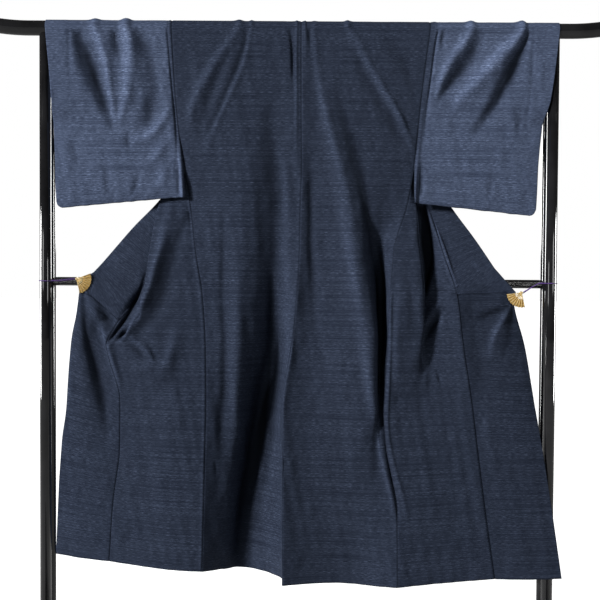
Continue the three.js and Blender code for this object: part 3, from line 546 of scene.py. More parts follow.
# Creases of the side that shows at the back, each a row of places down its line: how far across and
# above the floor in centimetres, its half width there, and its height in mm, negative for a trough.
# Each height also paints the cloth's colour: troughs painted darker as shade, ridges painted lighter as
# highlight.
BACK_CREASES = [
    # pleats below the back of the neck
    [(-3.0, 169.5, 0.5, -3), (-2.0, 164, 0.5, -6.5), (-1.8, 158, 0.45, -7), (-1.6, 153.5, 0.4, 0)],
    [(-0.7, 169.5, 0.4, 2.5), (-0.8, 160, 0.4, 2.5), (-0.7, 148, 0.5, 3), (-0.6, 132, 0.6, 0)],
    [(1.9, 170, 0.4, -3), (2.5, 166.5, 0.5, -5.5), (3.0, 162, 0.4, 0)],
    [(1.4, 170, 0.4, 2.5), (1.6, 165.5, 0.4, 1.5), (1.8, 160, 0.4, 0)],
    # drags from the right shoulder to the armhole
    [(11.2, 169.8, 0.5, 4), (14, 166, 0.7, 5.5), (17.4, 160, 0.8, 8.5), (20.8, 154, 0.9, 10),
     (24.6, 148, 0.9, 10), (27.6, 142.5, 0.8, 8.5), (30, 137, 0.7, 3)],
    [(13.5, 164, 0.8, 0), (17, 156.5, 1.3, -3.5), (21, 149.5, 1.5, -4), (25.5, 142, 1.4, -4),
     (28.5, 136.5, 1, 0)],
    [(19, 169, 1.2, 0), (24, 164, 1.8, -3), (28.5, 156, 1.4, -3), (30.5, 149, 1.0, 0)],
    # drags from the left shoulder
    [(-14.7, 170, 0.7, 4), (-17.4, 165.5, 0.9, 5), (-21.4, 160, 1.2, 5.5), (-25.2, 153.5, 1.5, 7),
     (-27.8, 147.5, 1.2, 5.5), (-29.2, 139.5, 0.9, 0)],
    [(-13.3, 170, 0.5, -4), (-14.6, 162.5, 0.7, -5.5), (-16.6, 156.5, 0.8, -7), (-19.4, 150, 0.8, -6.5),
     (-21.8, 144.5, 0.8, -5), (-24.4, 138.5, 0.7, 0)],
    [(-12.3, 170.2, 0.5, 3.5), (-14, 161, 0.6, 3), (-17, 153.5, 0.8, 6.5), (-19.7, 147.5, 0.8, 5.5),
     (-22.4, 141.5, 0.9, 4), (-24.5, 136, 0.8, 0)],
    [(-17.5, 163, 0.6, 0), (-21, 156.5, 1.0, -3), (-24.5, 147, 1.2, -3.5), (-27, 139, 1.0, 0)],
    # the long fold down the right of the back, and the valley beside it that sinks into a pocket
    [(3.9, 168, 0.6, 1.5), (5, 155, 1.0, 3.5), (7.2, 146, 1.2, 5.5), (9.4, 137.5, 1.3, 7),
     (11.4, 129, 1.6, 7.5), (13, 119, 2.0, 8), (14.4, 109, 2.3, 9.5), (16, 98, 2.0, 8),
     (18.2, 85, 1.8, 7), (19.3, 74, 1.4, 7), (20.6, 66, 0.9, 5), (22.2, 57, 0.7, 5), (24.6, 47, 0.6, 4),
     (26, 40, 0.5, 0)],
    [(8.5, 156, 0.9, 0), (11, 147, 1.4, -4), (13.4, 140, 1.8, -7), (16, 131, 1.8, -8.5),
     (18.1, 121, 1.5, -8.5), (19.8, 112, 1.4, -6.5), (21.2, 103, 1.4, -6), (21.8, 93, 1.0, -5),
     (22, 80, 0.8, -4), (22.2, 70, 0.6, -2), (22.4, 62, 0.5, 0)],
    [(21.6, 110, 0.5, 0), (22.2, 103, 0.7, -6), (22.6, 95, 0.75, -11), (22.7, 86, 0.7, -14),
     (22.7, 78, 0.6, -15), (22.5, 71, 0.45, -15), (22.4, 65, 0.4, -12), (23, 60, 0.4, -8),
     (24.6, 52, 0.4, -6), (26.4, 44, 0.4, -4), (27.1, 37, 0.4, 0)],
    [(24.2, 104, 0.5, 0), (24.3, 95, 0.5, 3.5), (24.2, 82, 0.5, 3.5), (23.8, 70, 0.5, 3),
     (24, 62, 0.5, 2.5), (25.8, 53, 0.6, 3), (28, 45, 0.8, 3), (29.8, 37, 0.8, 0)],
    [(26.5, 112, 1.2, 0), (26.5, 98, 1.6, 3.5), (25.8, 84, 1.4, 4), (26, 72, 1.2, 0)],
    [(29.5, 104, 1, 0), (30, 92, 1.2, -3), (29.5, 81, 1, 0)],
    # the deep valley left of the centre seam, and the softer folds each side of it
    [(-7.4, 152, 1.5, 0), (-7.6, 140, 2.0, -4), (-6.6, 130, 2.0, -7), (-6, 120, 1.6, -7),
     (-6.4, 108, 1.4, -6.5), (-6.8, 98, 1.4, -8), (-6.6, 88, 1.3, -9.5), (-7.0, 78, 1.5, -11.5),
     (-9.0, 69, 1.9, -14), (-10.8, 60, 2.0, -15), (-12.6, 50, 1.9, -14), (-14.4, 41, 1.7, -12),
     (-15.8, 30, 1.5, -8), (-16.6, 22, 1.3, -4)],
    [(-5, 92, 1.4, 0), (-5.6, 80, 1.6, -4), (-7.4, 64, 2.0, -6), (-9.4, 50, 2.0, -6),
     (-11.4, 38, 1.8, -5), (-13, 27, 1.5, -2)],
    [(9, 76, 5, 0), (9, 62, 6, -3), (10, 40, 6.5, -3.5), (11, 24, 6.5, -3.5), (11, 16, 6, -3)],
    [(-3.4, 138, 1.0, 0), (-3.2, 125, 1.2, 3.5), (-2.8, 110, 1.2, 3), (-2.4, 95, 1.2, 4),
     (-2.4, 80, 1.2, 4), (-4.6, 66, 1.2, 3), (-6.6, 52, 1.2, 2), (-9, 38, 1.2, 0)],
    [(2.8, 134, 0.7, 0), (3.3, 124, 0.9, -5), (3.4, 112, 0.9, -5), (4, 98, 1.1, -3.5), (5, 86, 1.2, 0)],
    [(-11.5, 150, 1.2, 0), (-11.8, 130, 1.6, 1.5), (-11.5, 112, 1.6, 3), (-11.4, 95, 1.4, 3),
     (-12, 80, 1.2, 0)],
    [(-19.8, 124, 0.8, 0), (-19.9, 112, 0.8, -3.5), (-20, 98, 0.9, -4), (-19.4, 86, 0.9, -4),
     (-19.6, 72, 1.1, -5), (-20.6, 60, 1.3, -4), (-20.4, 48, 1.0, 0)],
    [(-16, 110, 1.5, 0), (-16, 95, 1.6, 3), (-16.4, 80, 1.5, 4), (-16.8, 64, 1.4, 3.5),
     (-17.6, 50, 1.2, 0)],
    [(-22.3, 54, 0.4, 0), (-21.9, 52, 0.4, -2), (-21.5, 49.5, 0.4, 0)],
    # creases left by folding it for storage
    [(-41, 71.4, 0.3, 0), (-34, 71, 0.3, 1), (-27, 71, 0.3, 0)],
    [(5.6, 72.2, 0.3, 0), (10, 71.6, 0.3, -1), (16.6, 70.6, 0.3, -1), (21, 69.8, 0.3, 0)],
    [(23.4, 70.6, 0.3, 0), (26.2, 70.8, 0.3, -1.5), (27.6, 71.9, 0.35, -2.5), (29.4, 72.4, 0.35, -2),
     (31.4, 72, 0.3, 0)],
    # the seam allowance that stands beside the left side seam
    [(-29, 123, 0.35, 1.5), (-28, 116, 0.4, 2.5), (-27.1, 108, 0.4, 2), (-26.1, 100, 0.4, 1),
     (-25.1, 88, 0.4, 1), (-24.9, 70, 0.4, 1), (-25.2, 50, 0.4, 1), (-25.8, 25, 0.4, 1)],
    [(-29.3, 121.8, 0.4, 0), (-28.9, 119.5, 0.4, -4), (-28.3, 116, 0.4, 0)],
    # left front: the fold that laps the collar, and the wrinkles where it ends
    [(-34, 121.5, 1.6, 4), (-36, 113, 1.5, 8.5), (-38, 105.5, 1.1, 8.5), (-39.6, 100, 0.9, 7),
     (-41.9, 94.6, 0.9, 8.5), (-43.8, 90.4, 0.8, 9), (-45.5, 87.6, 0.5, 8), (-47.4, 86.2, 0.4, 4)],
    [(-29.4, 119, 0.8, -3), (-32, 113, 1.4, -5.5), (-34.4, 106, 2.0, -8.5), (-36.6, 99, 2.2, -10),
     (-39.6, 92.5, 2.0, -8.5), (-43, 87.8, 1.2, -4)],
    # the slit and hook hole under the fold, far deeper than the cloth folds: mostly painted shade
    [(-45.7, 88.9, 0.3, -6), (-46.4, 88.1, 0.45, -22), (-47.3, 87.3, 0.45, -22), (-48.2, 87.1, 0.3, -6)],
    [(-41.4, 103, 0.3, -6), (-42.6, 98.6, 0.35, -14), (-45.3, 93.3, 0.45, -16), (-48, 89.3, 0.45, -16),
     (-50.6, 85.8, 0.3, -5)],
    [(-46.2, 85.6, 0.7, -3), (-44.2, 84.6, 0.8, -5), (-42, 82.8, 0.8, -4.5), (-40.2, 80.9, 0.7, 0)],
    [(-44, 86.6, 0.6, 3), (-41.6, 84.4, 0.6, 7), (-39.2, 82.4, 0.5, 8.5), (-38.8, 80.6, 0.6, 4),
     (-40.5, 79, 1.0, 4), (-44, 78.6, 1.0, 0)],
    [(-42.8, 86.8, 0.6, -1), (-40, 84.8, 0.6, -3), (-38, 82.6, 0.6, -2.5), (-37.6, 80.8, 0.5, 0)],
    [(-31.8, 93, 1.4, 0), (-33.2, 86, 1.4, 4), (-34.6, 80.5, 1.3, 5.5), (-37.5, 77.5, 1.2, 0)],
    [(-28.5, 88, 1.6, 0), (-31, 81, 1.8, -3.5), (-34, 75.5, 1.6, -3), (-38, 72, 1.2, 0)],
    # left overlap, below the clip
    [(-56.4, 98, 0.5, 4), (-54.2, 93.5, 0.8, 8.5), (-51.8, 88, 0.8, 8.5), (-50, 83, 0.8, 7),
     (-48.3, 77.5, 0.8, 5.5), (-47, 72, 0.8, 0)],
    [(-57.3, 98, 0.4, -2), (-57, 93, 0.8, -9), (-56.2, 87, 1.1, -11), (-54.8, 81, 1.3, -12),
     (-53.2, 74, 1.4, -11), (-51.9, 67, 1.2, -8), (-51, 58, 1.1, 0)],
    [(-53.4, 96.4, 0.6, 0), (-51.8, 93.2, 0.9, -7), (-50.2, 90, 0.8, -7), (-49, 87.6, 0.5, 0)],
    [(-54.6, 97.2, 0.3, 0), (-50.4, 93.4, 0.3, -1.5), (-46.6, 91, 0.3, 0)],
    [(-59.6, 92, 1.0, 0), (-60.6, 84, 1.2, 4), (-61.2, 74, 1.4, 4), (-61.5, 62, 1.2, 0)],
    # right front: beside the collar seam, round the pouch and from the clip
    [(33.8, 122.5, 0.4, 2), (35.4, 118, 0.45, 5.5), (37.5, 112.5, 0.5, 5.5), (39.6, 106, 0.5, 5.5),
     (41.4, 101, 0.4, 2)],
    # a trough far deeper than the cloth folds: painted near-black shade in the gap beside the collar seam
    [(33, 122, 0.9, -18), (33.8, 114, 1.3, -34), (34.4, 107, 1.1, -32), (33.8, 99.5, 0.5, -10)],
    [(34, 100.8, 0.5, 0), (38, 100.2, 0.5, -4), (42, 98.9, 0.4, -3), (48, 99.2, 0.5, -3.5),
     (55.5, 98.8, 0.4, 0)],
    [(39, 96.6, 0.8, 0), (37.2, 92.8, 0.9, -7), (35.2, 89.6, 0.9, -10), (33.5, 86.6, 0.7, -5.5)],
    [(38.6, 98.4, 0.8, 0), (35.8, 94.4, 0.9, 5.5), (33.9, 90.6, 0.8, 4)],
    [(56.4, 96.4, 0.4, -3), (53, 95, 0.7, -7), (49.5, 93.4, 1.0, -5.5), (46, 91.8, 1.0, 0)],
    [(56, 95.8, 0.4, 2), (54.4, 93, 0.7, 8.5), (52.6, 89.5, 0.9, 10), (51.4, 85.5, 1.0, 7),
     (50.8, 81, 1.0, 0)],
    [(56.8, 95.6, 0.4, -2), (56.4, 91, 0.9, -4), (55.2, 86.5, 1.2, -4), (54.2, 80, 1.3, 0)],
    [(42.8, 88.4, 0.3, 0), (43.6, 88, 0.3, -2), (44.6, 87.4, 0.3, 0)],
    [(36.8, 78.8, 0.4, 0), (37.6, 77, 0.45, -4), (38, 74, 0.4, 0)],
    [(39, 78.2, 0.4, 0), (37.9, 76.5, 0.4, -2), (37.6, 75, 0.4, 0)],
    [(33.9, 82, 0.8, 0), (34, 77.5, 1.0, 3.5), (33.8, 73.5, 0.9, 0)],
    [(49.5, 78, 1.4, 0), (50.5, 66, 1.6, 3), (51.5, 54, 1.4, 0)],
]


def ridge_heights(creases, x, z):
    """Height of the creases at places x, z, all in millimetres."""
    total = np.zeros_like(x)
    for crease in creases:
        rows = np.array(crease, float) * (10, 10, 10, 1)
        line = np.array(spline_through(rows, np.linspace(0, 1, 4 * (len(rows) - 1) + 1)))
        nearest = np.full_like(x, 1e9)
        height = np.zeros_like(x)
        for (x0, z0, half0, h0), (x1, z1, half1, h1) in zip(line[:-1], line[1:]):
            length = math.hypot(x1 - x0, z1 - z0)
            share = np.clip(((x - x0) * (x1 - x0) + (z - z0) * (z1 - z0)) / length**2, 0, 1)
            away = np.hypot(x - x0 - share * (x1 - x0), z - z0 - share * (z1 - z0))
            away = away / (half0 + (half1 - half0) * share)
            closer = away < nearest
            nearest = np.where(closer, away, nearest)
            height = np.where(closer, h0 + (h1 - h0) * share, height)
        total += height * np.exp(-(nearest**2))
    return total


# Small uneven ripples all over, from long low waves that cross at odd angles.
rng = np.random.default_rng(11)
RIPPLES = [
    (rng.normal(0, 0.35), 2 * math.pi / rng.uniform(28, 90), rng.uniform(0, 6.28), rng.uniform(0.1, 0.24))
    for _ in range(18)
]


def rippled(x, z):
    total = 0
    for lean, pace, turn, high in RIPPLES:
        total = total + high * np.sin((x + lean * z) * pace + turn + 1.3 * np.sin(z / 170 + turn))
    return total


DEEPEST_FOLD = 11
FREE_FROM_ROD_X = 630


def creased(grid, back, sign, ring=False):
    """The grid with its creases, and its outward normals. back holds those of the side at the back;
    the far side has the same ones the other way round and a little lower."""
    outward = normals_of(grid, ring) * sign
    x, y, z = grid[..., 0], grid[..., 1], grid[..., 2]
    level = np.minimum(z, ROD_Z)
    facing = np.clip(-outward[..., 1] * 1.6, 0, 1)
    over = np.clip((z - ROD_Z + 4) / 8, 0, 1)
    back_share = np.maximum(facing, over * 0.75)
    far_share = np.clip(outward[..., 1] * 1.6, 0, 1) * np.clip((z - 1180) / 80, 0, 1) * (1 - over)
    lift = back_share * ridge_heights(back, x, level)
    lift += 0.6 * far_share * ridge_heights(back, -x - 17, level + 12)
    lift += rippled(x, level) * np.clip((ROD_Z - z) / 60, 0, 1)
    drop = np.clip(np.abs(z - ROD_Z), 0, ROD_RADIUS)
    room = BEND_RADIUS - np.sqrt(ROD_RADIUS**2 - drop**2) - 1.0
    room = np.where(z > ROD_Z, 0.3, room)
    room = np.where(np.abs(x) > FREE_FROM_ROD_X, np.minimum(room, 0.4), room)
    # crest keeps the full height; the part deeper than the cloth has room for, or than DEEPEST_FOLD, is
    # painted shade alone.
    crest = np.maximum(lift, -room)
    lift = np.maximum(crest, -DEEPEST_FOLD)
    if ring:
        lift = np.maximum(lift, -np.maximum(0.3, np.abs(y) - 2))
    return grid + outward * lift[..., None], outward, crest


def body_grid(side):
    ts = gathered(BODY_COLUMNS)
    back = [section(side["back"], z, ts) for z in reversed(LEVELS)]
    shoulder = LINES[side["side"]][0][0]
    arc = [over_rod(neck_edge(side, a), shoulder, a, ts) for a in ARC]
    front = [section(side["front"], z, ts) for z in LEVELS]
    return np.array(back + arc + front)


# Painted light: how much of a lighter copy of the silk's colour each piece gets; the sleeves are painted
# lighter than the body.
PAINTED_LIGHT_SHARE = {"body": 0.0, "overlap": 0.05, "collar": 0.1, "sleeve": 1.0}


def shell(name, grid, outward, crest, ring=False, thick=CLOTH):
    """A closed thin wall on the grid, its texture laid out in metres along and across the cloth."""
    rows, columns = grid.shape[:2]
    face, reverse = grid + outward * thick / 2, grid - outward * thick / 2
    points = np.concatenate([face.reshape(-1, 3), reverse.reshape(-1, 3)])
    ids = np.arange(rows * columns).reshape(rows, columns)
    below = np.roll(ids, -1, axis=0) if ring else ids[1:]
    above = ids if ring else ids[:-1]
    quads = np.stack([above[:, :-1], above[:, 1:], below[:, 1:], below[:, :-1]], axis=-1).reshape(-1, 4)
    natural = normals_of(grid, ring)
    flipped = (natural * outward).sum() < 0
    top = quads[:, ::-1] if flipped else quads
    under = (quads if flipped else quads[:, ::-1]) + rows * columns
    rims = [(above[:, 0], below[:, 0]), (below[:, -1], above[:, -1])]
    if not ring:
        rims += [(ids[0, 1:], ids[0, :-1]), (ids[-1, :-1], ids[-1, 1:])]
    edges = []
    for a, b in rims:
        band = np.stack([a, b, b + rows * columns, a + rows * columns], axis=-1)
        edges.append(band[:, ::-1] if flipped else band)
    faces = np.concatenate([top, under, *edges])
    made = mesh_object(name, points, faces.tolist(), silk)
    along = np.linalg.norm(np.diff(grid, axis=0), axis=2).mean(axis=1)
    v = np.concatenate([[0], np.cumsum(along)]) * MM
    across = np.linalg.norm(np.diff(grid, axis=1), axis=2)
    u = np.concatenate([np.zeros((rows, 1)), np.cumsum(across, axis=1)], axis=1) * MM
    uv = np.stack([u, np.repeat(v[:, None], columns, axis=1)], axis=-1).reshape(-1, 2)
    uv = np.concatenate([uv, uv])
    flat = faces.reshape(-1)
    layer = made.data.uv_layers.new(name="cloth")
    values = uv[flat]
    if ring:
        seam = np.repeat(np.isin(faces, ids[0]).any(axis=1) & np.isin(faces, ids[-1]).any(axis=1), 4)
        first = np.isin(flat % (rows * columns), ids[0])
        values = values.copy()
        values[seam & first, 1] = v[-1] + along.mean() * MM
    layer.data.foreach_set("uv", values.astype(np.float32).ravel())
    # Painted light and shade are kept in two point attributes: the share of the painted lighter colour, and
    # the crease heights that shade the colour.
    painted_light_share = made.data.attributes.new("painted_light_share", "FLOAT", "POINT")
    painted_light_amount = np.full((rows, columns), PAINTED_LIGHT_SHARE[name.split("_")[0]])
    # On the sleeves the painted light fades out close to the armhole seam.
    if ring:
        painted_light_amount *= np.clip((u / MM - 9) / 7, 0.12, 1)
    painted_light_share.data.foreach_set("value", np.tile(painted_light_amount.reshape(-1), 2).astype(np.float32))
    painted_light = made.data.attributes.new("crest", "FLOAT", "POINT")
    painted_light.data.foreach_set("value", np.tile(np.reshape(crest, -1), 2).astype(np.float32))
    return made


def sew(a, b):
    """Brings two edges together into one seam line."""
    middle = (a + b) / 2
    a[...] = middle
    b[...] = middle


# The cloth: dark indigo, with broken pale blue slubs along the weft and a dry, slightly silky face.
silk, tree, shader = new_material("tsumugi_silk")
uv = node(tree, "ShaderNodeTexCoord").outputs["UV"]


def stretched(scale, offset=(0, 0, 0)):
    place = {"Vector": uv, "Scale": scale, "Location": offset}
    return node(tree, "ShaderNodeMapping", place).outputs["Vector"]


def noise(scale, detail=2.0, offset=(0, 0, 0), roughness=0.5):
    made = node(
        tree,
        "ShaderNodeTexNoise",
        {"Vector": stretched(scale, offset), "Scale": 1.0, "Detail": detail, "Roughness": roughness},
    )
    return made.outputs["Fac"]


def ramped(value, low, high):
    return node(
        tree, "ShaderNodeMapRange", {"Value": value, "From Min": low, "From Max": high}
    ).outputs["Result"]


def blended(kind, share, first, second):
    made = node(tree, "ShaderNodeMix", data_type="RGBA", blend_type=kind)
    for socket, value in ((made.inputs[0], share), (made.inputs[6], first), (made.inputs[7], second)):
        if isinstance(value, bpy.types.NodeSocket):
            tree.links.new(value, socket)
        else:
            socket.default_value = value
    return made.outputs[2]


INDIGO = (0.0115, 0.0150, 0.0250, 1)
NIGHT = (0.0040, 0.0055, 0.0105, 1)
PALE = (0.044, 0.056, 0.088, 1)
PAINTED_LIGHT_GAIN = 2.45
slubs = ramped(noise((90, 950, 1), 2.0), 0.46, 0.64)
lows = ramped(noise((9, 640, 1), 1.0, (3.1, 7.7, 2)), 0.44, 0.64)
fine = ramped(noise((420, 2600, 1), 2.0, (9, 4, 5)), 0.4, 0.72)
bands = ramped(noise((3, 600, 1), 1.0, (5, 5, 9)), 0.4, 0.62)
ground = blended("MIX", lows, INDIGO, NIGHT)
ground = blended("MIX", fine, ground, (0.020, 0.026, 0.043, 1))
lines = node(tree, "ShaderNodeMath", {0: slubs, 1: bands}, operation="MULTIPLY").outputs[0]
coloured = blended("MIX", lines, ground, PALE)
# Painted light: where the share attribute is set, the colour is swapped for a much lighter copy of itself.
painted_light_share = node(tree, "ShaderNodeAttribute", attribute_name="painted_light_share").outputs["Fac"]
painted_light = blended("MULTIPLY", 1.0, coloured, (PAINTED_LIGHT_GAIN, PAINTED_LIGHT_GAIN, PAINTED_LIGHT_GAIN, 1))
coloured = blended("MIX", painted_light_share, coloured, painted_light)
# Painted shade and highlight: the crease heights darken the troughs towards black and lighten the ridges.
crest = node(tree, "ShaderNodeAttribute", attribute_name="crest").outputs["Fac"]
share = {"Value": crest, "From Min": -14, "From Max": 9, "To Min": 0.05, "To Max": 1.6}
painted_shade_and_sheen = node(tree, "ShaderNodeMapRange", share).outputs["Result"]
lit = node(tree, "ShaderNodeVectorMath", {0: coloured, "Scale": painted_shade_and_sheen}, operation="SCALE").outputs[0]
tree.links.new(lit, shader.inputs["Base Color"])
threads = node(tree, "ShaderNodeMath", {0: slubs, 1: fine}, operation="ADD").outputs[0]
weave = node(tree, "ShaderNodeBump", {"Height": threads, "Strength": 0.3, "Distance": 0.0003})
tree.links.new(weave.outputs["Normal"], shader.inputs["Normal"])
shader.inputs["Roughness"].default_value = 0.5
shader.inputs["Specular IOR Level"].default_value = 0.22
shader.inputs["Specular Tint"].default_value = (0.5, 0.66, 1.0, 1)
shader.inputs["Sheen Weight"].default_value = 0.04
shader.inputs["Sheen Roughness"].default_value = 0.4
shader.inputs["Sheen Tint"].default_value = (0.5, 0.66, 1.0, 1)

bodies, overlaps, sleeves, outs, crests, smooth_edges = {}, {}, {}, {}, {}, {}
for name, side in SIDES.items():
    base = body_grid(side)
    smooth_edges[f"body_{name}"] = base[:, 0].copy()
    bodies[name], outs[f"body_{name}"], crests[f"body_{name}"] = creased(base, BACK_CREASES, side["sign"])
BACK_ROWS = len(LEVELS)
FIRST_FRONT = BACK_ROWS + len(ARC)
neck_top = BACK_ROWS + next(i for i, a in enumerate(ARC) if a < NECKLINE_TOP)

# ---- overlaps ----
# The narrow strips on the fronts' inner edges, 15 cm wide, 74 cm long at the outer edge.
OVERLAP_COLUMNS = 40
TIPS = {"left": (-552, 28.5, 980), "right": (549, 5, 997)}
EDGE_TOP_Z = 988
TIP_SHARE = 0.8


def overlap_grid(name, side):
    inner_column = {z: line_point(side["inner"], z) for z in LEVELS}
    tip = np.array(TIPS[name], float)
    rows = []
    top_seam = line_point(side["inner"], side["kensaki"])
    top_edge = line_point(side["edge"], EDGE_TOP_Z)
    for z in (level for level in LEVELS if level <= side["kensaki"]):
        down = (side["kensaki"] - z) / (side["kensaki"] - LOWEST_HEM_Z)
        seam = inner_column[z]
        edge = line_point(side["edge"], EDGE_TOP_Z + (LOWEST_HEM_Z - EDGE_TOP_Z) * down)
        pulled = max(0, 1 - down * 1.6)
        settled = min(1, down / 0.05)
        row = []
        for u in gathered(OVERLAP_COLUMNS):
            along_top = (
                top_seam + (tip - top_seam) * u / TIP_SHARE
                if u <= TIP_SHARE
                else tip + (top_edge - tip) * (u - TIP_SHARE) / (1 - TIP_SHARE)
            )
            lower = along_top + (seam - top_seam) * (1 - u) + (edge - top_edge) * u
            straight = seam + (edge - seam) * u
            point = lower + (straight - lower) * settled
            fold = 9 * pulled * math.sin(2 * math.pi * u)
            swell = 7 * (1 - pulled) * math.sin(math.pi * u)
            point[1] += settled * (fold - swell)
            row.append(point)
        rows.append(row)
    return np.array(rows)


for name, side in SIDES.items():
    grid = overlap_grid(name, side)
    smooth_edges[f"overlap_{name}"] = grid[0].copy()
    made = creased(grid, BACK_CREASES, -side["sign"])
    overlaps[name], outs[f"overlap_{name}"], crests[f"overlap_{name}"] = made

# ---- sleeves ----
# A bag 49 cm deep on each side of the body, sewn to it for 38 cm, open at the wrist for 27 cm.
SLEEVE_COLUMNS = 84
WRIST_END_Z = 1434
SLEEVE_LAST_Z = 1250
CORNER = 15
PINCH = 0.95
CUTS = {
    "left": {
        "z": [1681, 1500, 1434, 1212],
        "x": [-663, -648, -645, -637],
        "slant": 8,
        "inner": 1243,
        "outer": 1212,
    },
    "right": {
        "z": [1681, 1500, 1434, 1198],
        "x": [678, 657, 639, 622],
        "slant": -2,
        "inner": 1230,
        "outer": 1198,
    },
}
# As on the back, these heights also paint shade in the troughs and light on the ridges.
SLEEVE_CREASES = [
    # left sleeve: folds that fall from the rod and meet low down
    [(-60.1, 169.5, 0.3, -2), (-60.2, 165, 0.3, -2.5), (-60.1, 160, 0.35, -1.5), (-59.9, 147, 0.4, 0)],
    [(-58.6, 169.5, 0.9, -4.5), (-57.4, 165, 1.5, -11.5), (-55.6, 160, 1.9, -14.5),
     (-53.4, 154, 1.8, -14.5), (-50.9, 147.5, 1.2, -11.5), (-48.6, 141.5, 0.6, -1)],
    [(-54.6, 170.2, 0.8, 3), (-52.3, 165.5, 1.2, 8.5), (-50.4, 159.5, 1.1, 8.5), (-49.6, 153, 0.8, 7),
     (-48.4, 146, 0.7, 6), (-47.9, 142.5, 0.5, 1)],
    [(-47.9, 170.5, 0.7, -4.5), (-48.2, 166, 0.9, -10), (-47.2, 161.5, 0.9, -7), (-46.2, 158, 0.8, 0)],
    [(-46.6, 170.3, 0.8, 4.5), (-44.4, 165.5, 1.5, 10), (-44.2, 159, 1.7, 10), (-44.8, 152, 1.5, 7),
     (-46.4, 145.5, 0.9, 4.5), (-47.4, 142, 0.6, 0)],
    [(-43.2, 169.5, 0.8, -4.5), (-40.8, 164, 1.8, -8.5), (-39, 158, 2.2, -7), (-38.2, 151, 2.2, -7),
     (-39.2, 145, 1.6, -8.5), (-40.2, 141, 1.0, 0)],
    [(-44.5, 138.8, 0.7, 0), (-40.5, 139.6, 1.0, 6), (-36.8, 142.5, 1.0, 7), (-33.9, 147, 0.8, 3)],
    [(-45.4, 141.5, 0.7, 0), (-44.8, 138.5, 0.7, -6), (-44.4, 135.5, 0.6, 0)],
    [(-40.5, 132, 0.8, 0), (-37, 135.5, 1.1, 4.5), (-33.6, 139.5, 0.9, 1)],
    [(-42.1, 131, 0.6, 0), (-42.6, 128, 0.5, -6), (-43.9, 124.6, 0.5, -3)],
    [(-50.9, 132.5, 0.6, 0), (-50.5, 128, 0.5, -4.5), (-50.3, 124.5, 0.6, -1)],
    [(-34.5, 133, 0.8, 0), (-35.8, 129, 1.2, 4.5), (-38, 125.5, 1.0, 1)],
    [(-65.2, 155, 0.5, 0), (-64.6, 150, 0.5, 1.5), (-64.3, 145, 0.6, -3), (-62.8, 141, 0.6, 0)],
    [(-60, 139, 0.8, 0), (-59, 136, 0.8, -3.5), (-57.5, 131, 0.7, 0)],
    # the roll of cloth beside its armhole seam
    [(-34.7, 170, 0.3, -3.5), (-33.9, 160, 0.3, -4), (-33.2, 152, 0.3, -4), (-32.5, 145, 0.3, -4),
     (-32.1, 139, 0.35, -3), (-31.9, 135, 0.4, -1)],
    [(-32.1, 134, 0.5, 0), (-32.0, 130, 0.5, -8.5), (-31.9, 125.5, 0.5, -8.5)],
    [(-31.5, 141, 0.4, 0), (-31.0, 134, 0.5, 6), (-30.7, 129, 0.5, 9), (-30.5, 124.5, 0.5, 9)],
    [(-34, 168, 0.5, 1), (-32.7, 155, 0.5, 1), (-31.7, 142, 0.5, 1), (-31, 126, 0.5, 1.5)],
    # right sleeve
    [(60.9, 168.5, 0.3, -2), (60.7, 160, 0.3, -2), (60.2, 149, 0.4, -2), (59, 141, 0.5, 0)],
    [(60.3, 170.2, 0.35, -2), (59.0, 165.5, 0.8, -9), (56.6, 160, 1.5, -14.5), (53.6, 154, 1.6, -14.5),
     (50.8, 148.5, 1.4, -11.5), (47.5, 143.5, 1.2, -6), (44.5, 139.5, 1.0, 0)],
    [(59.2, 169.6, 0.6, 6), (56.3, 165.4, 1.4, 10), (51.6, 160.2, 2.0, 11.5), (46.8, 155, 1.9, 10),
     (42.6, 150.5, 1.6, 6), (39.5, 146, 1.4, 1)],
    [(47.6, 169.5, 0.7, -2), (46.4, 164.5, 1.3, -7), (43.2, 159, 1.6, -11.5), (40, 154.6, 1.3, -10),
     (36.4, 149.8, 1.0, -3)],
    [(45.8, 170, 0.7, 4.5), (42.8, 164.4, 1.3, 8.5), (39.6, 160, 1.3, 7), (37.2, 155, 1.1, 6),
     (36, 150, 0.9, 1)],
    [(38.4, 170.2, 0.5, -4.5), (37.4, 166, 0.6, -6), (36.9, 162, 0.6, 0)],
    [(51, 132, 0.6, 0), (50.4, 128, 0.7, -3.5), (49.8, 123.5, 0.7, -1)],
    [(56.8, 147, 0.9, 0), (57.8, 144.5, 0.8, -3.5), (57.2, 141, 0.7, 0)],
    [(33.5, 129.5, 0.8, 0), (38, 128.6, 1.0, -3), (44, 128, 0.9, 0)],
    [(63.2, 166, 1.0, 0), (63, 158, 1.2, 1.5), (62.2, 150, 1.0, 0)],
    # the roll of cloth beside its armhole seam
    [(36.5, 170, 0.3, -3.5), (35.4, 164, 0.3, -4), (34.6, 157, 0.3, -4), (33.8, 150.5, 0.3, -3.5),
     (33.2, 144, 0.4, -2), (32.9, 138, 0.4, 0)],
    [(32.6, 133.5, 0.5, 0), (32.0, 130, 0.5, -8.5), (32.1, 125.5, 0.5, -8)],
    [(31.6, 139, 0.4, 0), (31.0, 132.5, 0.5, 6), (30.8, 128, 0.5, 9), (30.7, 123.5, 0.5, 9)],
    [(35.3, 168, 0.5, 1), (33.6, 156, 0.5, 1), (32.3, 145, 0.5, 1), (31.2, 128, 0.5, 1.5)],
]


def sleeve_depth(side, u, z):
    """Half the distance between the sleeve's layers, u being 0 at the armhole and 1 at the wrist."""
    arm = max(PINCH, -between(HEIGHTS, LINES[side["side"]][1], max(z, UNDERARM_Z)))
    wrist = between([ROD_Z, 1480, WRIST_END_Z], [21, 17, PINCH], z)
    edge = arm + (wrist - arm) * u
    belly = max(edge, between([1681, 1560, 1440, 1325, 1222], [21, 15, 10, 7.5, 5], z))
    return edge + (belly - edge) * math.sin(math.pi * u) ** 0.7


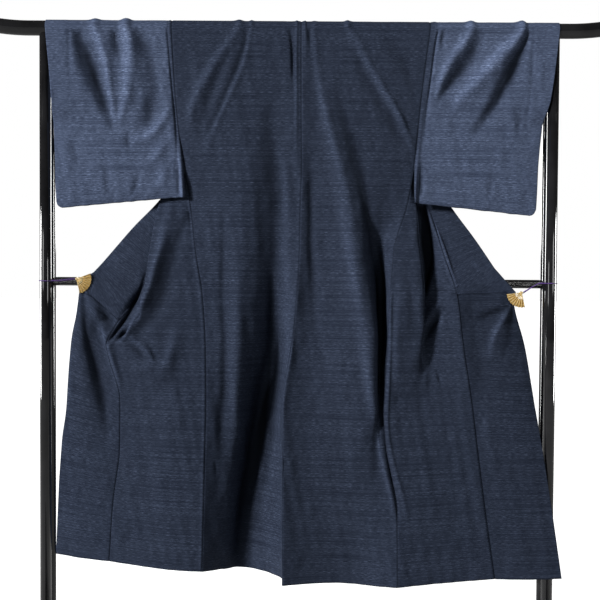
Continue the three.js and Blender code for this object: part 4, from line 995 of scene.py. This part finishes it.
def sleeve_grid(side, cut):
    ts = gathered(SLEEVE_COLUMNS)

    def bottom(u):
        return cut["inner"] + (cut["outer"] - cut["inner"]) * u

    def row(z, face, height, rounded=0.0):
        share = min(1, max(0, (UNDERARM_Z - z) / (UNDERARM_Z - cut["inner"])))
        held = between(HEIGHTS, LINES[side["side"]][0], max(z, UNDERARM_Z))
        held -= side["sign"] * cut["slant"] * share
        wrist = between(cut["z"], cut["x"], z) - side["sign"] * rounded
        return [
            np.array([held + (wrist - held) * u, face * sleeve_depth(side, u, z), height(u)]) for u in ts
        ]

    def slanted(z):
        share = min(1, max(0, (UNDERARM_Z - z) / (UNDERARM_Z - SLEEVE_LAST_Z)))
        return lambda u: z + (bottom(u) + CORNER - z) * share

    levels = [z for z in LEVELS if z >= SLEEVE_LAST_Z]
    layer = {face: [row(z, face, slanted(z)) for z in levels] for face in (-1, 1)}
    arc = [over_rod(LINES[side["side"]][0][0], cut["x"][0], a, ts) for a in ARC]
    turned = {-1: [], 1: []}
    for degrees in (15, 30, 45, 60, 75):
        s, c = math.sin(math.radians(degrees)), math.cos(math.radians(degrees))
        for face in (-1, 1):
            low = row(1222, face * c, lambda u: bottom(u) + CORNER * (1 - s), CORNER * (1 - c))
            turned[face].append(low)
    lip = row(1222, 0, bottom, CORNER)
    return np.array(layer[-1][::-1] + arc + layer[1] + turned[1] + [lip] + turned[-1][::-1])


for name, side in SIDES.items():
    grid = sleeve_grid(side, CUTS[name])
    made = creased(grid, SLEEVE_CREASES, side["sign"], ring=True)
    sleeves[name], outs[f"sleeve_{name}"], crests[f"sleeve_{name}"] = made

# ---- seams ----
# Centre back, side seams, armholes and the overlaps' seams, each drawn into one line.
seam_rows = [i for i, z in enumerate(LEVELS) if z < UNDERARM_Z]
armhole = sum(1 for z in LEVELS if z >= UNDERARM_Z)
sleeve_levels = sum(1 for z in LEVELS if z >= SLEEVE_LAST_Z)


def sew_all():
    sew(bodies["left"][:neck_top, 0], bodies["right"][:neck_top, 0])
    for name, side in SIDES.items():
        body, sleeve, overlap = bodies[name], sleeves[name], overlaps[name]
        below = FIRST_FRONT + seam_rows[0]
        sew(body[: len(seam_rows), -1][::-1], body[below:, -1])
        held = 2 * armhole + len(ARC)
        sew(
            body[BACK_ROWS - armhole : BACK_ROWS - armhole + held, -1],
            sleeve[sleeve_levels - armhole : sleeve_levels - armhole + held, 0],
        )
        kensaki = FIRST_FRONT + LEVELS.index(side["kensaki"])
        sew(body[kensaki:, 0], overlap[:, 0])


def press(grid, outward, crest, column, dark, depth=1.3, reach=2.6):
    """Sinks a sewn edge so that the cloth rolls softly into its seam, and paints shade along it by dark."""
    spot = grid[:, column][:, None]
    near = np.exp(-((np.linalg.norm(grid - spot, axis=2) / reach) ** 2))
    grid -= outward * (depth * near)[..., None]
    crest -= dark * near


sew_all()
# The last number is how much painted shade each seam gets.
for name in SIDES:
    for piece, grids, column, dark in (
        ("body", bodies, 0, 3 if name == "left" else 0),
        ("body", bodies, -1, 5),
        ("overlap", overlaps, 0, 10),
        ("sleeve", sleeves, 0, 6),
    ):
        key = f"{piece}_{name}"
        press(grids[name], outs[key], crests[key], column, dark)
sew_all()

# ---- collar ----
# One band, 5.8 cm wide as folded at the neck and 11.5 cm where it has opened out, 178 cm long.
COLLAR_COLUMNS = 40
SEAM_REACH = 12
COLLARS = {
    "left": {
        "at": [1681, 1600, 1500, 1400, 1325, 1222, 1100, 990, 914],
        "x": [-46, -104, -192, -262, -311, -356, -446, -524, -546],
        "y": [33, 80, 104, 84, 62, 42, 36, 33, 31],
        "z": [1655, 1588, 1508, 1428, 1362, 1258, 1157, 1066, 1042],
        "end": (-556, 30, 1036),
        "corner": (-576, 30, 1026),
    },
    "right": {
        "at": [1681, 1600, 1500, 1400, 1325, 1222, 1100, 990],
        "x": [56, 114, 205, 278, 330, 400, 472, 520],
        "y": [33, 80, 104, 82, 60, 34, 20, 10],
        "z": [1655, 1588, 1508, 1424, 1354, 1232, 1132, 1060],
        "end": (566, 6, 1008),
        "corner": (577, 5, 996),
    },
}
COLLAR_CENTRE = np.array([CENTRE_X, 42, 1632])


def collar_half(name, side):
    """Stations along half of the collar: its sewn edge, that edge uncreased, its free edge."""
    cut = COLLARS[name]

    def free(z):
        return np.array([between(cut["at"], cut[axis], z) for axis in "xyz"])

    body, overlap = bodies[name], overlaps[name]
    body_edge, overlap_edge = smooth_edges[f"body_{name}"], smooth_edges[f"overlap_{name}"]
    stations = []
    for i, a in enumerate(ARC):
        if a < NECKLINE_TOP:
            share = (a / NECKLINE_TOP) ** 0.8
            top = free(ROD_Z)
            at = BACK_ROWS + i
            stations.append((body[at, 0], body_edge[at], top + (COLLAR_CENTRE - top) * share))
    for i, z in enumerate(LEVELS):
        if z >= side["kensaki"]:
            at = FIRST_FRONT + i
            stations.append((body[at, 0], body_edge[at], free(z)))
    start = free(side["kensaki"])
    end, corner = np.array(cut["end"], float), np.array(cut["corner"], float)
    shares = gathered(OVERLAP_COLUMNS)
    for j in range(1, OVERLAP_COLUMNS + 1):
        if shares[j] <= TIP_SHARE:
            loose = start + (end - start) * shares[j] / TIP_SHARE
        else:
            loose = end + (corner - end) * (shares[j] - TIP_SHARE) / (1 - TIP_SHARE)
        stations.append((overlap[0, j], overlap_edge[j], loose))
    return stations


left_half, right_half = (collar_half(name, side) for name, side in SIDES.items())
top_edge = bodies["left"][neck_top - 1, 0]
stations = [*left_half[::-1], (top_edge, top_edge, COLLAR_CENTRE), *right_half]
sewn, smooth, free = (np.array(edge) for edge in zip(*stations))
widths = np.linspace(0, 1, COLLAR_COLUMNS + 1)[None, :, None]
across = np.linalg.norm(free - smooth, axis=1)[:, None, None] * widths
settling = np.exp(-((across / SEAM_REACH) ** 2))
collar = smooth[:, None] + (free - smooth)[:, None] * widths + (sewn - smooth)[:, None] * settling
collar[:, 0] = sewn
roll = np.sin(math.pi * widths[0, :, 0])[None, :]
collar_out = normals_of(collar)
if collar_out[len(collar) // 4, 2, 1] > 0:
    collar_out = -collar_out
collar = collar + collar_out * (roll * 2.5)[..., None]
outs["collar"] = collar_out
# its wrinkles, whose heights also paint its shade and light: the edge under the left fold painted dark, and
# small drags towards both clips
COLLAR_CREASES = [
    [(-40.8, 104, 0.3, -3), (-42.4, 98.6, 0.35, -14), (-45.3, 93.3, 0.45, -16), (-48, 89.3, 0.45, -15),
     (-50.6, 85.8, 0.3, -5)],
    [(-41.5, 101, 0.6, 0), (-44.4, 96, 0.9, -3.5), (-47.4, 91.6, 0.8, -3), (-49.6, 88, 0.6, 0)],
    [(34, 122, 0.4, 3), (35.9, 118, 0.4, 8), (38.1, 112.5, 0.4, 9), (40.3, 106, 0.4, 9),
     (42.1, 101, 0.4, 4)],
    [(-51, 106, 0.8, 0), (-47, 108, 0.9, 2), (-42, 110.5, 0.8, 0)],
    [(-53.5, 103.5, 0.6, 0), (-50, 101.5, 0.9, -2.5), (-46.5, 99.6, 0.8, 0)],
    [(-52.6, 97.4, 0.3, 0), (-49.6, 95.6, 0.35, -2), (-47.4, 94, 0.3, 0)],
    [(40.5, 119.5, 0.6, 0), (42.5, 117.2, 0.6, -2), (46, 114.2, 0.6, 0)],
    [(45.6, 108.4, 0.5, 0), (47.4, 106.6, 0.6, 3), (49.6, 104, 0.5, 0)],
    [(43, 100.6, 0.4, 0), (48, 100.9, 0.7, -2.5), (55, 99.6, 0.5, 0)],
]
collar_crest = ridge_heights(COLLAR_CREASES, collar[..., 0], collar[..., 2])
collar_crest *= np.clip(-collar_out[..., 1] * 1.6, 0, 1)
collar_crest += 0.7 * rippled(collar[..., 0], collar[..., 2])
# painted shade: the collar darker from the centre towards the right
collar_crest -= 2.5 * np.clip(collar[..., 0] / 300, 0, 1)
collar = collar + collar_out * np.where(widths[..., 0] > 0.01, collar_crest * 0.5, 0)[..., None]

# ---- the cloth's pieces, each a shell ----
# Painted shade on the right overlap and painted light on the left sleeve, added to their crease shading.
PAINTED_LIGHT_SHIFT = {"overlap_right": -5.5, "sleeve_left": 1.6}
cuts = {}
for name, side in SIDES.items():
    for kind, grids in (("body", bodies), ("overlap", overlaps), ("sleeve", sleeves)):
        piece, ring = f"{kind}_{name}", kind == "sleeve"
        grid = grids[name]
        outs[piece] = normals_of(grid, ring) * (-side["sign"] if kind == "overlap" else side["sign"])
        shade = crests[piece] + PAINTED_LIGHT_SHIFT.get(piece, 0)
        cuts[piece] = shell(f"{piece}_cloth", grid, outs[piece], shade, ring)
cuts["collar"] = shell("collar_cloth", collar, collar_out, collar_crest, thick=1.8)
for piece, made in cuts.items():
    kind = piece.split("_")[0]
    belongs(made, "tsumugi_cloth", piece)


# ---- fan clips ----
# Gold plated folding fans, 4 cm in radius, with a pleated leaf on slim ribs and a round pivot.
gold, tree, shader = new_material("gold_plate")
place = object_place(tree)
tree.links.new(
    mottle(tree, place, 180.0, (0.86, 0.62, 0.25), (1.0, 0.82, 0.46)), shader.inputs["Base Color"]
)
shader.inputs["Metallic"].default_value = 0.7
shader.inputs["Roughness"].default_value = 0.36
scratch = node(tree, "ShaderNodeTexNoise", {"Vector": place, "Scale": 900.0, "Detail": 2.0})
bump = node(tree, "ShaderNodeBump", {"Height": scratch.outputs["Fac"], "Strength": 0.1, "Distance": 0.0002})
tree.links.new(bump.outputs["Normal"], shader.inputs["Normal"])

# The leaf is the same gold plate painted darker: painted shade in the pleats between the ribs.
shaded_leaf_gold, tree, shader = new_material("gold_leaf_painted_shade")
place = object_place(tree)
tree.links.new(
    mottle(tree, place, 240.0, (0.46, 0.28, 0.08), (0.8, 0.55, 0.2)), shader.inputs["Base Color"]
)
shader.inputs["Metallic"].default_value = 0.7
shader.inputs["Roughness"].default_value = 0.42

FAN_RADIUS = 40
LEAF_FROM = 17
RIBS = 9
for side, clip in CLIPS.items():
    low, high = clip["turn"]
    centre = np.array([clip["x"], clip["y"], clip["z"]], float)
    face_y = -1.4
    points, faces = [], []

    def at(degrees, radius, y):
        angle = math.radians(degrees)
        return centre + (radius * math.cos(angle), y, radius * math.sin(angle))

    pleats = 2 * (RIBS - 1)
    for layer in (0, 1):
        for i in range(pleats + 1):
            degrees = low + (high - low) * i / pleats
            y = face_y - (1.6 if i % 2 == 0 else 0.2) - (0.9 if layer == 0 else 0)
            outer = FAN_RADIUS - (1.6 if i % 2 else 0)
            points += [at(degrees, LEAF_FROM, y), at(degrees, outer, y)]
    half = 2 * (pleats + 1)
    for i in range(pleats):
        a, b, c, d = 2 * i, 2 * i + 2, 2 * i + 3, 2 * i + 1
        faces += [(a, b, c, d), (d + half, c + half, b + half, a + half)]
        faces += [(b, a, a + half, b + half), (d, c, c + half, d + half)]
    last = 2 * pleats
    faces += [(0, 1, 1 + half, half), (last + 1, last, last + half, last + 1 + half)]
    leaf = mesh_object(f"fan_leaf_{side}", points, faces, shaded_leaf_gold, smooth=False)
    made = [leaf]
    for i in range(RIBS):
        degrees = low + (high - low) * i / (RIBS - 1)
        inset = 1.6 if i == 0 else -1.6 if i == RIBS - 1 else 0
        start = at(degrees + inset, 0, face_y - 2.2)
        end = at(degrees + inset, FAN_RADIUS - 1, face_y - 2.4)
        rib = bar(f"rib_{side}_{i}", start, end, 0.9, gold, vertices=10)
        made.append(rib)
    hub_front = centre + (0, face_y - 4.2, 0)
    hub_back = centre + (0, clip["slot"] + 2.6, 0)
    made.append(bar(f"hub_{side}", hub_front, hub_back, 3.6, gold, vertices=32, rounding=0.8))
    aim = math.radians((low + high) / 2)
    jaw_end = centre + (22 * math.cos(aim), clip["slot"] + 1.2, 22 * math.sin(aim))
    jaw_start = centre + (0, clip["slot"] + 1.2, 0)
    jaw = bar(f"jaw_{side}", jaw_start, jaw_end, 1.6, gold, vertices=16, rounding=0.5)
    made.append(jaw)
    bpy.ops.object.select_all(action="DESELECT")
    for piece in made:
        piece.select_set(True)
    bpy.context.view_layer.objects.active = leaf
    bpy.ops.object.join()
    belongs(leaf, "gold_clip", f"fan_clip_{side}")

# ---- floor, backdrop and light ----
# A white studio floor in even white surroundings. One low window light rakes the cloth from the
# left, with soft boxes in front and behind, and a tall strip each side that lights the tubes alone.
bpy.ops.object.select_all(action="DESELECT")
bpy.ops.mesh.primitive_plane_add(size=60, location=(0, 0, 0))
floor = bpy.context.object
floor.name = "studio_floor"
sweep_white, tree, shader = new_material("white_sweep")
greys = mottle(tree, object_place(tree), 0.8, (0.34, 0.34, 0.34), (0.38, 0.38, 0.38))
tree.links.new(greys, shader.inputs["Base Color"])
shader.inputs["Roughness"].default_value = 0.8
floor.data.materials.append(sweep_white)
seen = node(tree, "ShaderNodeLightPath").outputs["Is Camera Ray"]
shader.inputs["Emission Color"].default_value = (1, 1, 1, 1)
tree.links.new(seen, shader.inputs["Emission Strength"])

world = bpy.data.worlds.new("studio")
bpy.context.scene.world = world
world.use_nodes = True
world.node_tree.nodes["Background"].inputs["Color"].default_value = (1, 1, 1, 1)
tree = world.node_tree
seen = node(tree, "ShaderNodeLightPath").outputs["Is Camera Ray"]
bright = node(tree, "ShaderNodeMapRange", {"Value": seen, "To Min": 0.05, "To Max": 1.0}).outputs["Result"]
tree.links.new(bright, tree.nodes["Background"].inputs["Strength"])


def lamp(name, place, aim, size, power):
    data = bpy.data.lights.new(name, "AREA")
    data.shape = "RECTANGLE"
    data.size, data.size_y = size
    data.energy = power
    made = bpy.data.objects.new(name, data)
    bpy.context.scene.collection.objects.link(made)
    made.location = place
    made.rotation_mode = "QUATERNION"
    made.rotation_quaternion = (Vector(aim) - Vector(place)).to_track_quat("-Z", "Y")
    return made


lamp("left_box", (-2.2, -1.9, 2.3), (-0.4, 0, 1.3), (0.8, 1.1), 14)
lamp("right_box", (2.2, -1.9, 2.3), (0.4, 0, 1.3), (0.8, 1.1), 16)
lamp("back_box", (0, 3.0, 1.9), (0, 0, 1.1), (2.2, 1.4), 60)
rack_only = bpy.data.collections.new("rack_only")
for piece in bpy.context.scene.objects:
    if piece.type == "MESH" and paint.name in piece.data.materials:
        rack_only.objects.link(piece)
for name, x in (("left_strip", -2.9), ("right_strip", 2.9)):
    strip = lamp(name, (x, 0.3, 1.1), (x / 5, 0, 1.0), (0.4, 2.6), 170)
    strip.visible_diffuse = False
    strip.light_linking.receiver_collection = rack_only
key = bpy.data.lights.new("window", "SUN")
key.energy = 6.7
key.angle = math.radians(9)
sun = bpy.data.objects.new("window", key)
bpy.context.scene.collection.objects.link(sun)
sun.rotation_mode = "QUATERNION"
sun.rotation_quaternion = Vector((1.0, 0.72, -0.36)).to_track_quat("-Z", "Y")
sun.visible_glossy = False
bpy.context.scene.view_settings.view_transform = "Standard"
